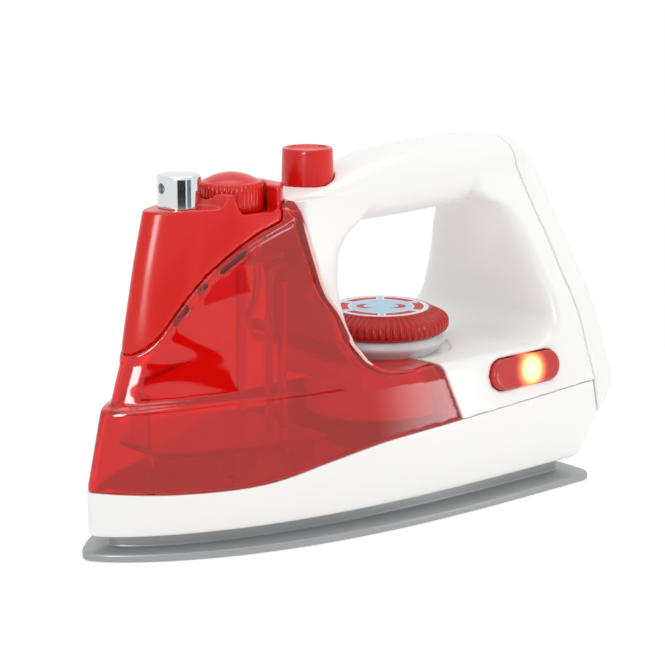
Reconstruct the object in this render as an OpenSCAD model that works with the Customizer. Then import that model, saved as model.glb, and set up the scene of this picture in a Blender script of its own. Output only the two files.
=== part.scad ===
// Toy steam iron: soleplate, base, two body halves with a closed handle, clear water tank,
// pump spray, filler cap, turning dial and light button.
// The nose points to -X, the soleplate rests on z = 0 and y = 0 is the middle plane.

/* [Soleplate] */
// Length of the soleplate
sole_len = 214; // [210:1:220]
// Width of the soleplate
sole_w = 104; // [101:1:108]
// Thickness of the soleplate's rim
sole_t = 3; // [2.7:0.1:3.5]
// Radius of the soleplate's rear corners
sole_corner = 6; // [4:0.5:8]
// Height of the step between the rim and the base
riser_h = 5.6; // [5.2:0.1:6.2]
// Distance of the step from the rim's edge
riser_inset = 11.3; // [10.5:0.1:12]

/* [Base] */
// Distance of the base's sides from the soleplate's edge
base_inset = 6.6; // [5.8:0.1:7.2]
// Distance of the base's nose from the soleplate's nose
base_nose_inset = 2.6; // [2:0.1:4]
// Distance of the base's rear foot from the soleplate's rear edge
base_rear_inset = 1; // [0.5:0.5:3]
// Height of the base's seam near the nose
seam_front_z = 23.6; // [22:0.2:26]
// Height of the base's seam at the heel
seam_heel_z = 39; // [37:0.5:41]
// Wall thickness of the base
base_wall = 2.2; // [1.8:0.1:2.6]
// Thickness of the base's floor
base_floor = 2.5; // [2:0.1:3]

/* [Heel] */
// Reach of the heel behind the soleplate
heel_overhang = 19; // [17:0.5:21]
// Height of the heel's tip
heel_z = 36.6; // [35:0.2:37.5]
// Lean of the heel's face from upright, in degrees
heel_lean = 12; // [11:0.1:13]
// Depth of the rear cover
rear_cover_t = 11.2; // [10:0.2:12.4]

/* [Upper body] */
// Height of the ledge at the nose
ledge_front_z = 54.5; // [53.5:0.5:55.5]
// Height of the ledge along the sides
ledge_z = 58; // [57:0.2:59]
// Radius of the ledge's edge
shoulder_r = 4; // [3:0.2:5]
// Radius of the tank's edge along the ledge
tank_shoulder_r = 2; // [1.5:0.1:3]
// How far the sides lean in between the seam and the ledge
side_lean = 2.5; // [1.5:0.1:3.5]
// How far the nose leans back between the seam and the ledge
nose_lean = 6.2; // [5:0.1:7]
// Height of the deck under the dial
deck_z = 56.5; // [56:0.1:57]
// Wall thickness of the body halves
body_wall = 2.4; // [2:0.1:2.8]

/* [Tank] */
// Wall thickness of the water tank
tank_wall = 2; // [1.6:0.1:2.4]
// Distance from the nose to the rear end of the tank's side lobes, at the heel tip's height
lobe_from_nose = 146; // [144:1:148]
// Slant of the lobes' rear edge from upright, in degrees
lobe_slant = 20; // [16:1:24]
// Height of the tower's foot inside the ledge
tower_foot_z = 50; // [49:0.5:51]
// Drop from the handle's highest point to the rim round the filler cap
tower_drop = 8.5; // [7:0.5:10]
// Distance from the nose to the tower's front at its foot
tower_foot_from_nose = 11.5; // [11:0.5:12.5]
// Distance from the nose to the tower's front at its top
tower_top_from_nose = 31.7; // [31:0.1:32.4]
// Width of the tower at its foot
tower_foot_w = 85.4; // [84:0.2:86]
// Width of the tower at its top
tower_top_w = 32.4; // [32:0.2:33]
// Thickness of the front cover
cover_wall = 2.2; // [1.8:0.1:2.6]
// Drop from the handle's highest point to the deck that the nozzle stands on
nozzle_deck_drop = 15; // [14:0.2:16]

/* [Handle] */
// How far the spray button stands above the handle's highest point
button_proud = 1.4; // [0.8:0.2:2.4]
// Height of the handle bar
bar_h = 28.4; // [27:0.2:30]
// Width of the handle bar
bar_w = 32; // [31:0.5:33]
// Drop from the handle's highest point to its front end
bar_front_drop = 14; // [13:0.5:15]

/* [Nozzle] */
// Distance from the nose to the nozzle's axis
nozzle_from_nose = 45.5; // [45:0.5:46.5]
// Diameter of the nozzle
nozzle_d = 15.8; // [15:0.2:16.4]
// Height of the nozzle
nozzle_h = 12; // [11:0.5:13]

/* [Filler cap] */
// Distance from the nose to the cap's axis
cap_from_nose = 69; // [68.5:0.5:69.5]
// Diameter of the filler cap
cap_d = 24.4; // [23.6:0.2:24.8]
// Height of the cap's knurled ring
cap_h = 11; // [10:0.5:11.5]
// Height of the cap's dome
cap_dome_h = 3.2; // [2.6:0.2:3.8]
// Diameter of the filler neck's bore
neck_bore = 15; // [14:0.2:16]

/* [Spray button] */
// Distance from the nose to the button's axis
button_from_nose = 105.6; // [105:0.5:107]
// Diameter of the spray button
button_d = 19.9; // [19:0.1:20.4]
// Height of the button's top above the soleplate's underside
button_top_z = 140.4; // [139.5:0.2:141.5]
// Travel of the spray button
button_travel = 5.5; // [4:0.5:6]
// Outside diameter of the pump cylinder
pump_d = 7; // [6.6:0.1:7.4]
// Bore of the pump cylinder
pump_bore = 4.6; // [4.2:0.1:4.8]

/* [Dial] */
// Distance from the nose to the dial's axis
dial_from_nose = 143.4; // [142.5:0.5:145]
// Diameter of the dial
dial_d = 54; // [52:0.5:55]
// Height of the dial
dial_h = 9; // [8:0.5:10]
// Diameter of the printed disc on the dial
label_d = 38; // [34:0.5:40]
// Height of the collar under the dial
collar_h = 7.7; // [7:0.1:8.5]
// Diameter of the dial's shaft
shaft_d = 7; // [6:0.5:8]

/* [Light button] */
// Distance from the nose to the light button's middle
pill_from_nose = 181; // [178:1:184]
// Length of the light button
pill_len = 37; // [34:0.5:39]
// Height of the light button
pill_w = 12; // [11:0.2:12.6]
// How far the light button stands out of the wall
pill_proud = 2; // [1.6:0.1:2.6]
// Travel of the light button
pill_travel = 1.2; // [0.8:0.1:1.5]

/* [Cells] */
// Diameter of a cell
cell_d = 14.2; // [13.5:0.1:14.5]
// Length of a cell
cell_len = 50; // [48:0.5:51]

/* [Hidden] */
$fn = 36;

// Gaps: between neighbouring shells, round fixed pieces in their pockets, and round pieces that run
seam_gap = 0.4;
fit_gap = 0.15;
run_gap = 0.1;
overrun = 1;

// Steps of the outlines
side_steps = 15;
corner_steps = 3;
bar_steps = 9;
loft_steps = 9;

// Fullness of a pointed outline: how it bends at the nose and how fast it fills out
nose_form = [0.78, 3.3];
round_form = [0.5, 2];
flat_form = [0.22, 2];

// Main places along the iron
nose_x = -(sole_len + heel_overhang) / 2;
bar_top_z = button_top_z - button_proud;
bar_front_z = bar_top_z - bar_front_drop;
tower_top_z = bar_top_z - tower_drop;
nozzle_deck_z = bar_top_z - nozzle_deck_drop;
sole_rear_x = nose_x + sole_len;
heel_x = sole_rear_x + heel_overhang;
base_z = sole_t + riser_h;
base_floor_z = base_z + base_floor;
base_nose_x = nose_x + base_nose_inset;
base_rear_x = sole_rear_x - base_rear_inset;
base_half_w = sole_w / 2 - base_inset;
base_edge = 1.2;
heel_corner = 2.5;
cut_w = 2 * sole_w;
cut_h = 2 * bar_top_z;
lobe_x = from_nose(lobe_from_nose);
button_x = from_nose(button_from_nose);
dial_x = from_nose(dial_from_nose);
cap_x = from_nose(cap_from_nose);
nozzle_x = from_nose(nozzle_from_nose);
pill_x = from_nose(pill_from_nose);

function from_nose(d) = nose_x + d;
function share_x(s) = nose_x + s * sole_len;
function blend(a, b, s) = a + (b - a) * s;

// Smooth curve through the rows of a table
function row_at(t, x, i = 0) = i >= len(t) - 2 || x < t[i + 1][0] ? i : row_at(t, x, i + 1);
function slope_at(t, i) = let (a = max(i - 1, 0), b = min(i + 1, len(t) - 1))
    (t[b][1] - t[a][1]) / (t[b][0] - t[a][0]);
function smooth(t, x) = let (
        c = max(t[0][0], min(t[len(t) - 1][0], x)),
        i = row_at(t, c),
        h = t[i + 1][0] - t[i][0],
        s = (c - t[i][0]) / h)
    t[i][1] * (1 + 2 * s) * (1 - s) ^ 2 + slope_at(t, i) * h * s * (1 - s) ^ 2
    + t[i + 1][1] * s ^ 2 * (3 - 2 * s) + slope_at(t, i + 1) * h * s ^ 2 * (s - 1);

// Half of an outline seen from above, from the nose's tip along +Y to the rear
function fullness(t, form) = (1 - (1 - max(0, min(t, 1))) ^ form[1]) ^ form[0];
function half_plan(nose, run, rear, half_w, corner, form = nose_form) = let (
        x_end = rear - corner,
        y_end = half_w * fullness((x_end - nose) / run, form))
    concat(
        [for (i = [0 : side_steps]) let (x = blend(nose, x_end, (i / side_steps) ^ 2))
            [x, half_w * fullness((x - nose) / run, form)]],
        [for (i = [1 : corner_steps]) let (a = 90 * i / corner_steps)
            [x_end + corner * sin(a), y_end - corner * (1 - cos(a))]]);

// Closed ring of points in space, with its height given for each place along the iron
function ring(half, height_at) = let (n = len(half)) concat(
    [for (p = half) [p[0], p[1], height_at(p[0])]],
    [for (i = [n - 1 : -1 : 1]) [half[i][0], -half[i][1], height_at(half[i][0])]]);
function level_ring(half, z) = ring(half, function (x) z);

// Solid between rings that are mirrored about y = 0
function cap_faces(start, n) = concat([[start, start + 1, start + n - 1]],
    [for (k = [1 : (n - 1) / 2 - 1]) each [
        [start + k, start + k + 1, start + n - k - 1],
        [start + k, start + n - k - 1, start + n - k]]]);
module skin(rings) {
    n = len(rings[0]);
    last = (len(rings) - 1) * n;
    polyhedron(points = [for (r = rings) each r], faces = concat(
        [for (j = [0 : len(rings) - 2], i = [0 : n - 1])
            let (a = j * n + i, b = j * n + (i + 1) % n) each [[a, b, b + n], [a, b + n, a + n]]],
        [for (f = cap_faces(0, n)) [f[2], f[1], f[0]]],
        cap_faces(last, n)));
}
module loft(rings) for (j = [0 : len(rings) - 2]) hull() skin([rings[j], rings[j + 1]]);

// Prism across the iron from an outline drawn in the side view
module side_prism(points) rotate([90, 0, 0]) linear_extrude(height = cut_w, center = true) polygon(points);

// Seam between the base and the pieces above it, and the ledge round the body
seam_shares = [[0.01, 0.1], [0.14, 0], [0.28, 0.04], [0.4, 0.36], [0.51, 0.61], [0.68, 0.77], [1, 1]];
function along(x) = (x - nose_x) / sole_len;
function seam_at(x) = blend(seam_front_z, seam_heel_z, smooth(seam_shares, along(x)));
ledge_shares = [[0.05, 0], [0.08, 0.12], [0.18, 0.55], [0.28, 0.8], [0.34, 0.95], [0.45, 1], [1, 1]];
function ledge_at(x) = blend(ledge_front_z, ledge_z, smooth(ledge_shares, along(x)));

// Rear face: the base flares out to the heel's tip, and the face above it leans forward
flare_shares = [[0, 0], [0.4, 0.38], [0.64, 0.67], [1, 1]];
function heel_face_x(z) = heel_x - (z - heel_z) * tan(heel_lean);
function rear_x(z) = z > heel_z ? heel_face_x(z)
    : blend(base_rear_x, heel_x, smooth(flare_shares, (z - base_z) / (heel_z - base_z)));
function rear_seam_x(z) = heel_face_x(z) - rear_cover_t;
module behind_rear_seam(shift) side_prism([[rear_seam_x(0) + shift, 0], [rear_seam_x(cut_h) + shift, cut_h],
    [cut_h, cut_h], [cut_h, 0]]);

// Lower form of the base and body; inset moves every wall inwards
base_run = base_rear_x - base_nose_x;
function low_ring(height_at, inset, rear, lean = 0) = ring(half_plan(base_nose_x + inset + lean * nose_lean,
    base_run, rear, base_half_w - inset - lean * side_lean, heel_corner), height_at);
function base_height(share) = function (x) blend(base_z + base_edge, seam_at(x), share);
base_rise_shares = [0.3, 0.6, 0.75, 0.92, 1];
function base_rear_at(share) = rear_x(blend(base_z + base_edge, seam_heel_z, share));
function below_seam_rings(inset) = [for (s = base_rise_shares)
    low_ring(base_height(s), inset, base_rear_at(s) - inset)];
round_share = 0.29;
function above_seam_rings(inset, gap, r = shoulder_r) = [
    low_ring(function (x) seam_at(x) + gap, inset, heel_face_x(seam_heel_z) - inset),
    low_ring(function (x) ledge_at(x) - r - inset, inset, heel_face_x(ledge_z - r) - inset, 1),
    low_ring(function (x) ledge_at(x) - r * round_share - inset, inset + r * round_share,
        heel_face_x(ledge_z) - inset, 1),
    low_ring(function (x) ledge_at(x) - inset, inset + r, heel_face_x(ledge_z) - inset, 1)];
module body_form(inset = 0, gap = seam_gap, r = shoulder_r) skin(above_seam_rings(inset, gap, r));

// Tower of the tank and front cover, as shares of the way from its foot to its top
tower_lean_shares = [[0, 0], [0.09, 0.124], [0.18, 0.24], [0.26, 0.35], [0.35, 0.41], [0.53, 0.56],
    [0.7, 0.7], [0.88, 0.876], [1, 1]];
tower_slim_shares = [[0, 0], [0.1, 0.03], [0.17, 0.166], [0.27, 0.355], [0.37, 0.63], [0.47, 0.857],
    [0.62, 0.955], [0.78, 0.985], [1, 1]];
tower_top_form = [0.58, 2.7];
function tower_form(slim) = [for (k = [0, 1]) blend(nose_form[k], tower_top_form[k], slim)];
tower_foot_run = base_run;
tower_top_run = tower_top_w * 1.85;
tower_corner = 7;
pillar_rear_from_nose = 110.5;
pillar_rear_x = from_nose(pillar_rear_from_nose);
function tower_half(s, inset) = let (slim = smooth(tower_slim_shares, s))
    half_plan(
        from_nose(blend(tower_foot_from_nose, tower_top_from_nose, smooth(tower_lean_shares, s))) + inset,
        blend(tower_foot_run, tower_top_run, slim),
        pillar_rear_x - inset,
        blend(tower_foot_w, tower_top_w, slim) / 2 - inset,
        tower_corner, tower_form(slim));
module tower(inset = 0) loft([for (i = [0 : loft_steps]) let (s = i / loft_steps)
    level_ring(tower_half(s, inset), blend(tower_foot_z, tower_top_z, s))]);

// Rear edge of the tank, from the lobes' shelf up to the handle's front end
tank_foot_z = 60;
tank_top_z = bar_front_z - overrun;
tank_edge_foot = 111.5;
tank_edge_top = 85.5;
edge_steps = 12;
tank_edge_shares = [[0, 0], [0.03, 0.12], [0.069, 0.24], [0.12, 0.345], [0.18, 0.39], [0.33, 0.41], [0.44, 0.51],
    [0.64, 0.635], [0.92, 0.86], [1, 1]];
edge_power = 1.5;
function tank_edge_x(s) = from_nose(blend(tank_edge_foot, tank_edge_top, smooth(tank_edge_shares, s)));
function tank_edge(shift) = [for (i = [0 : edge_steps]) let (s = i / edge_steps)
    [tank_edge_x(s ^ edge_power) + shift, blend(tank_foot_z, tank_top_z + min(shift, 0), s ^ edge_power)]];
function lobe_x_at(z) = lobe_x - (z - heel_z) * tan(lobe_slant);
lobe_round_share = 0.45;
function lobe_edge(shift) = let (z = ledge_z - shoulder_r, x = lobe_x_at(z) + shift, r = 2 * shoulder_r) [
    [lobe_x_at(0) + shift, 0], [x, z], [x - r * lobe_round_share, z + shoulder_r * 2 * lobe_round_share],
    [x - r, ledge_z], [x - r, tank_foot_z]];
module tank_region(shift) side_prism(concat([[-cut_h, 0]], lobe_edge(shift), tank_edge(shift),
    [[-cut_h, tank_top_z + min(shift, 0)]]));
module before_lobe(shift) side_prism(concat([[-cut_h, 0]], lobe_edge(shift), [[-cut_h, tank_foot_z]]));
module behind_tank(shift) side_prism(concat(
    [[cut_h, 0], [from_nose(tank_edge_foot) + shift, 0]], tank_edge(shift),
    [[from_nose(tank_edge_top) + shift, cut_h], [cut_h, cut_h]]));

// Front cover: its lower edge sweeps up from the nose to the cap
cover_low_share = 0.286;
cover_low_z = blend(tower_foot_z, tower_top_z, cover_low_share);
well_depth = 11.5;
well_floor_z = tower_top_z - well_depth;
cap_well_r = cap_d / 2 + 2 * seam_gap;
cap_rim_t = 6.2;
cover_end_r = cap_well_r + cap_rim_t;
cover_end_gap = 0.5;
cover_rear_x = from_nose(tank_edge_top) - cover_end_gap;
cover_curve_end_z = well_floor_z;
cover_curve_shares = [[0, 0], [0.12, 0.01], [0.22, 0.12], [0.35, 0.38], [0.5, 0.62], [0.75, 0.86], [1, 1]];
cover_steps = 9;
function cover_curve(shift) = let (front = from_nose(tower_foot_from_nose)) [for (i = [0 : cover_steps])
    let (s = i / cover_steps) [blend(front, cover_rear_x, s),
        blend(cover_low_z, cover_curve_end_z, smooth(cover_curve_shares, s)) + shift]];
module cover_region(shift) intersection() {
    side_prism(concat([[-cut_h, cover_low_z + shift]], cover_curve(shift),
        [[cover_rear_x - shift, cover_curve_end_z + shift], [cover_rear_x - shift, cut_h], [-cut_h, cut_h]]));
    union() {
        translate([cap_x - 2 * cut_h, -cut_w / 2, 0]) cube([2 * cut_h, cut_w, cut_h]);
        round_at(cap_x, 0, cover_end_r - shift, cut_h);
    }
}

// Front pillar of the handle, behind the tank
pillar_foot_z = 48;
pillar_foot_half_w = 24;
pillar_foot_rear = 20;
pillar_shares = [[0, 0], [0.16, 0.08], [0.27, 0.2], [0.4, 0.48], [0.52, 0.82], [0.68, 0.95], [1, 1]];
pillar_rear_shares = [[0, 1], [0.16, 1], [0.24, 0.3], [0.35, 0], [0.68, 0], [0.78, 0.2], [0.86, 0.6], [1, 1.4]];
pillar_top_z = bar_front_z - base_edge;
pillar_front_x = from_nose(tank_edge_top);
module front_pillar(gap = 0) loft([for (i = [0 : loft_steps]) let (s = i / loft_steps)
    level_ring(half_plan(pillar_front_x - gap, tower_corner,
        pillar_rear_x + pillar_foot_rear * smooth(pillar_rear_shares, s) + gap,
        blend(pillar_foot_half_w, tower_top_w / 2, smooth(pillar_shares, s)) + gap,
        tower_corner, round_form), blend(pillar_foot_z, pillar_top_z, s))]);

// Rear pillar: a thin upright wall behind the hand hole that narrows to the handle
rear_foot_z = 54;
rear_foot_half_w = base_half_w - side_lean - fit_gap;
rear_foot_from_nose = 183;
rear_waist_from_nose = 199;
rear_half_shares = [[0, 0], [0.12, 0.045], [0.26, 0.165], [0.4, 0.35], [0.56, 0.53], [0.7, 0.73], [0.86, 0.93],
    [0.93, 1.02], [1, 1.22]];
rear_front_shares = [[0, 0], [0.05, 0.25], [0.07, 0.56], [0.1, 0.78], [0.13, 0.92], [0.17, 1], [0.27, 0.99],
    [0.36, 0.9], [0.46, 0.8], [0.56, 0.67], [0.65, 0.55], [0.7, 0.44], [0.74, 0.28], [0.77, 0], [0.82, -0.4], [1, -0.5]];
rear_top_z = bar_top_z - bar_h / 4;
rear_edge = 6;
rear_corner = 2.5;
function rear_half(s, inset) = let (z = blend(rear_foot_z, rear_top_z, s), front = from_nose(
        blend(rear_foot_from_nose, rear_waist_from_nose, smooth(rear_front_shares, s))))
    half_plan(front + inset, rear_edge, heel_face_x(z) - inset,
        blend(rear_foot_half_w, bar_w / 2, smooth(rear_half_shares, s)) - inset, rear_corner, flat_form);
module rear_pillar(inset = 0) loft([for (row = rear_front_shares)
    level_ring(rear_half(row[0], inset), blend(rear_foot_z, rear_top_z, row[0]))]);

// Handle bar: rounded sections from the rear to the front end
bar_front_x = from_nose(tank_edge_top);
bar_bulge = 1;
bar_rear_x = heel_face_x(bar_top_z - bar_h / 4) + bar_bulge;
bar_squareness_share = 0.8;
bar_top_shares = [[0, 0], [0.08, 0.14], [0.16, 0.27], [0.24, 0.43], [0.33, 0.66], [0.45, 0.86], [0.58, 0.965],
    [0.75, 1], [0.9, 0.93], [0.96, 0.78], [1, 0.42]];
bar_low_shares = [[0, 0], [0.45, 0], [0.65, 0.04], [0.82, 0.12], [1, 0.3]];
bar_half_shares = [[0, 0.9], [0.1, 1], [0.88, 1], [0.96, 0.93], [1, 0.72]];
function bar_section(s, inset) = let (
        x = blend(bar_front_x, bar_rear_x - inset, s),
        top = blend(bar_front_z, bar_top_z, smooth(bar_top_shares, s)) - inset,
        low = bar_top_z - bar_h + bar_h * smooth(bar_low_shares, s) + inset,
        half = bar_w / 2 * smooth(bar_half_shares, s) - inset)
    [for (i = [0 : bar_steps]) let (a = -90 + 180 * i / (bar_steps + 0.5))
        [x, half * cos(a) ^ bar_squareness_share,
            (top + low) / 2 + (top - low) / 2 * sign(sin(a)) * abs(sin(a)) ^ bar_squareness_share]];
function mirrored(half) = concat(half, [for (i = [len(half) - 1 : -1 : 1]) [half[i][0], -half[i][1], half[i][2]]]);
bar_sections = 14;
module handle_bar(inset = 0) loft([for (i = [bar_sections : -1 : 0])
    mirrored(bar_section(i / bar_sections, inset))]);

// Dial stack: deck, collar, dial and its well
well_r = dial_d / 2 + overrun;
core_r = well_r + body_wall;
collar_top_z = deck_z + collar_h;
dial_z = collar_top_z + seam_gap;
dial_top_z = dial_z + dial_h;
well_h = collar_h + dial_h + 2 * overrun;
shaft_clip_t = 1.6;
shaft_low_z = deck_z - 3 * body_wall;
module round_at(x, z, r, h) translate([x, 0, z]) cylinder(r = r, h = h);

// Pump stack under the spray button
guide_z = button_top_z - bar_h;
pump_len = 18.5;
pump_z = guide_z - pump_len;
guide_wall = 2.2;
guide_h = 11;
button_r = button_d / 2;
button_wall = 1.8;
button_rise = 7.4;
button_low_z = guide_z + button_rise;
guide_bore_r = button_r + run_gap;
guide_r = guide_bore_r + guide_wall;
pump_flange_t = 1.5;
pump_flange_r = guide_bore_r - overrun;
rod_r = 1.6;
piston_h = 3;
piston_z = guide_z - piston_h - fit_gap;
seal_t = 1.2;
seal_w = 0.6;
tube_r = 1.5;
port_z = pump_z + 2 * tube_r + overrun;
spray_port_z = port_z + 3 * tube_r;
tube_bend = 8;

// Light button in the left wall, square to the wall's lean
pill_z = 49.7;
pill_tilt = atan(side_lean / (ledge_z - shoulder_r - seam_heel_z));
pill_wall_share = (pill_z - seam_heel_z) / (ledge_z - shoulder_r - seam_heel_z);
pill_y = -(base_half_w - side_lean * pill_wall_share);
pill_depth = 5;
pill_flange = 1.4;
module on_pill() translate([pill_x, pill_y, pill_z]) rotate([90 - pill_tilt, 0, 0]) children();
module pill_shape(grow) hull() for (side = [-1, 1])
    translate([side * (pill_len - pill_w) / 2, 0]) circle(r = pill_w / 2 + grow);

// Circuit board on two posts behind the light button, square to the same wall
board_gap = 5;
board_len = 46;
board_h = 18;
board_t = 1.6;
board_drop = 4;
board_out = -pill_depth - board_gap;
post_r = 1.8;
post_spread = 20;
post_drop = 9.5;
board_screw_r = 0.9;
board_head_r = 1.7;
lamp_r = 1.5;
lamp_h = board_gap - pill_travel - 2 * seam_gap;
switch_size = 6;
switch_step = 0.8;
module at_posts() on_pill() for (side = [-1, 1]) translate([side * post_spread, -post_drop, board_out]) children();

// Cells, their tub in the base and the door in the soleplate
tub_wall = 1.8;
cell_gap = 0.5;
contact_t = 0.8;
tub_len = cell_len + 2 * (contact_t + cell_gap);
tub_w = 2 * cell_d + 3 * cell_gap;
tub_share = 0.7;
tub_x = share_x(tub_share);
tub_top_z = sole_t + cell_d + 2 * cell_gap;
cell_z = sole_t + cell_gap + cell_d / 2;
door_edge = 3;
door_t = 1.8;
door_len = tub_len + 2 * door_edge;
door_w = tub_w + 2 * door_edge;

// Screws
screw_r = 1.5;
screw_head_r = 2.8;
screw_head_t = 1.6;
boss_r = 4;
sole_screw_top_z = base_floor_z + 8;
boss_h = 9;
// Screws as shares of the soleplate's length and width, and of the handle's height
sole_screw_shares = [[0.187, 0], [0.444, -0.21], [0.444, 0.21], [0.916, -0.23], [0.916, 0.23]];
sole_screw_places = [for (s = sole_screw_shares) [share_x(s[0]), s[1] * sole_w]];
body_screw_shares = [[0.58, 0.878], [0.87, 0.864], [0.965, 0.533]];
body_screw_places = [for (s = body_screw_shares) [share_x(s[0]), s[1] * bar_top_z]];
body_screw_len = 22;
cover_screw_half = 20;
cover_screw_z = 62;
cover_screw_len = 14;

sole_colour = "#a9acb0";
white = "#f4f4f2";
clear_red = [0.86, 0.05, 0.08, 0.65];
red = "#d8231f";
steel = "#c4c7cb";
grey = "#8c8f94";

module sole_plan(inset, rear_inset) polygon(let (h = half_plan(nose_x + inset, sole_len, sole_rear_x - rear_inset,
        sole_w / 2 - inset, sole_corner))
    concat(h, [for (i = [len(h) - 1 : -1 : 1]) [h[i][0], -h[i][1]]]));
riser_rear_inset = 6.5;
riser_wall = 3;
sole_bevel = 0.7;
module soleplate() color(sole_colour) difference() {
    union() {
        linear_extrude(height = sole_t) sole_plan(sole_bevel, sole_bevel);
        translate([0, 0, sole_bevel]) linear_extrude(height = sole_t - sole_bevel) sole_plan(0, 0);
        linear_extrude(height = base_z) difference() {
            sole_plan(riser_inset, riser_rear_inset);
            sole_plan(riser_inset + riser_wall, riser_rear_inset + riser_wall);
        }
        for (p = sole_screw_places) translate([p[0], p[1], 0]) cylinder(r = boss_r, h = base_z);
    }
    for (p = sole_screw_places) translate([p[0], p[1], 0]) screw_hole(base_z);
    door_space(tub_len, tub_w, sole_t + overrun);
    door_space(door_len + 2 * seam_gap, door_w + 2 * seam_gap, door_t);
}
module screw_hole(depth) {
    translate([0, 0, -overrun]) cylinder(r = screw_r + fit_gap, h = depth + 2 * overrun);
    translate([0, 0, -overrun]) cylinder(r = screw_head_r + seam_gap, h = screw_head_t + overrun);
}
module door_space(l, w, h) translate([tub_x - l / 2, -w / 2, -overrun]) cube([l, w, h + overrun]);

module base_shell() color(white) difference() {
    union() {
        difference() {
            skin(concat(
                [low_ring(function (x) base_z, base_edge, base_rear_x - base_edge),
                    low_ring(function (x) base_z + base_edge, 0, base_rear_x)],
                base_wall_rings(0), [for (i = [len(base_rise_shares) - 1 : -1 : 0]) base_wall_rings(base_wall)[i]],
                [low_ring(function (x) base_floor_z, base_wall, base_rear_x - base_wall)]));
            tub_box(tub_wall - fit_gap);
        }
        difference() {
            tub_box(tub_wall);
            tub_box(0);
        }
        for (p = sole_screw_places) translate([p[0], p[1], base_floor_z - overrun])
            cylinder(r = boss_r, h = boss_h + overrun);
    }
    for (p = sole_screw_places) translate([p[0], p[1], base_z - overrun])
        cylinder(r = screw_r, h = sole_screw_top_z - base_z + overrun);
}
function base_wall_rings(inset) = [for (s = base_rise_shares) low_ring(base_height(s), inset,
    min(base_rear_at(s), rear_seam_x(blend(base_z + base_edge, seam_heel_z, s)) - seam_gap) - inset)];
module tub_box(grow) translate([tub_x - tub_len / 2 - grow, -tub_w / 2 - grow, sole_t + seam_gap])
    cube([tub_len + 2 * grow, tub_w + 2 * grow, tub_top_z + grow - sole_t - seam_gap]);

// White upper body as one form, before it is split into halves
module body_solid() difference() {
    union() {
        difference() {
            body_form();
            before_lobe(seam_gap);
        }
        intersection() {
            body_form();
            round_at(dial_x, base_z, core_r, deck_z);
        }
        intersection() {
            front_pillar();
            behind_tank(seam_gap);
        }
        rear_pillar();
        intersection() {
            handle_bar();
            behind_tank(seam_gap);
        }
    }
    behind_rear_seam(-seam_gap);
    body_cavity();
    round_at(dial_x, deck_z, well_r, well_h);
    round_at(dial_x, shaft_low_z, shaft_d / 2 + seam_gap, deck_z);
    pump_space();
    for (p = body_screw_places) body_screw_space(p);
    for (side = [-1, 1]) rear_screw_at(side) cylinder(r = screw_r + fit_gap, h = cover_screw_len + overrun);
    on_pill() pill_space();
}
module body_cavity() {
    difference() {
        intersection() {
            body_form(body_wall, -overrun);
            translate([-cut_h, -cut_w / 2, 0]) cube([2 * cut_h, cut_w, deck_z - body_wall]);
        }
        before_lobe(seam_gap + body_wall);
        behind_rear_seam(-seam_gap - body_wall);
    }
    round_at(dial_x, 0, well_r, deck_z - body_wall);
}
module pump_space() {
    round_at(button_x, pump_z, pump_d / 2 + fit_gap, guide_z);
    round_at(button_x, guide_z, guide_r + fit_gap, guide_h + fit_gap);
    round_at(button_x, guide_z, guide_bore_r + run_gap, bar_h);
    for (z = [port_z, spray_port_z]) translate([button_x, 0, z]) rotate([0, -90, 0])
        cylinder(r = tube_r + seam_gap, h = bar_h);
}
module body_screw_space(p) translate([p[0], 0, p[1]]) rotate([-90, 0, 0]) {
    translate([0, 0, -body_screw_len / 2]) cylinder(r = screw_r + fit_gap, h = body_screw_len + overrun);
    translate([0, 0, body_screw_len / 2]) cylinder(r = screw_head_r + seam_gap, h = sole_w);
}
module pill_space() {
    translate([0, 0, -pill_depth]) linear_extrude(height = 2 * pill_depth) pill_shape(seam_gap);
    translate([0, 0, -2 * pill_depth]) linear_extrude(height = 2 * pill_depth - body_wall)
        pill_shape(pill_flange + seam_gap);
}
module body_half(side) intersection() {
    body_solid();
    translate([-cut_h, side > 0 ? 0 : -cut_w, 0]) cube([2 * cut_h, cut_w, cut_h]);
}
module body_shell_left() color(white) {
    body_half(-1);
    board_posts();
}
module body_shell_right() color(white) body_half(1);
module board_posts() at_posts() difference() {
    cylinder(r = post_r, h = -board_out - body_wall + fit_gap);
    translate([0, 0, -overrun]) cylinder(r = board_screw_r + fit_gap, h = board_gap);
}

module rear_cover() color(white) difference() {
    union() {
        difference() {
            intersection() {
                rear_master(0);
                behind_rear_seam(0);
            }
            rear_master(body_wall);
        }
        intersection() {
            rear_master(0);
            behind_rear_seam(0);
            for (side = [-1, 1]) rear_screw_at(side) translate([0, 0, -cut_w / 2]) cylinder(r = boss_r, h = cut_w);
        }
    }
    for (side = [-1, 1]) rear_screw_at(side) {
        translate([0, 0, -overrun]) cylinder(r = screw_r + fit_gap, h = cover_screw_len);
        translate([0, 0, -rear_cover_t]) cylinder(r = screw_head_r + seam_gap, h = rear_cover_t);
    }
}
module rear_master(inset) {
    skin(concat([low_ring(function (x) base_z, base_edge + inset, base_rear_x - base_edge - inset),
        low_ring(function (x) base_z + base_edge, inset, base_rear_x - inset)],
        below_seam_rings(inset),
        [for (i = [1 : 3]) above_seam_rings(inset, 0)[i]]));
    rear_pillar(inset);
    handle_bar(inset);
}
// A cover screw's own frame: its head's seat, with +Z going forwards into the body
module rear_screw_at(side) translate([rear_seam_x(cover_screw_z) + rear_cover_t / 2, side * cover_screw_half,
    cover_screw_z]) rotate([0, -90 + heel_lean, 0]) children();

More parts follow.
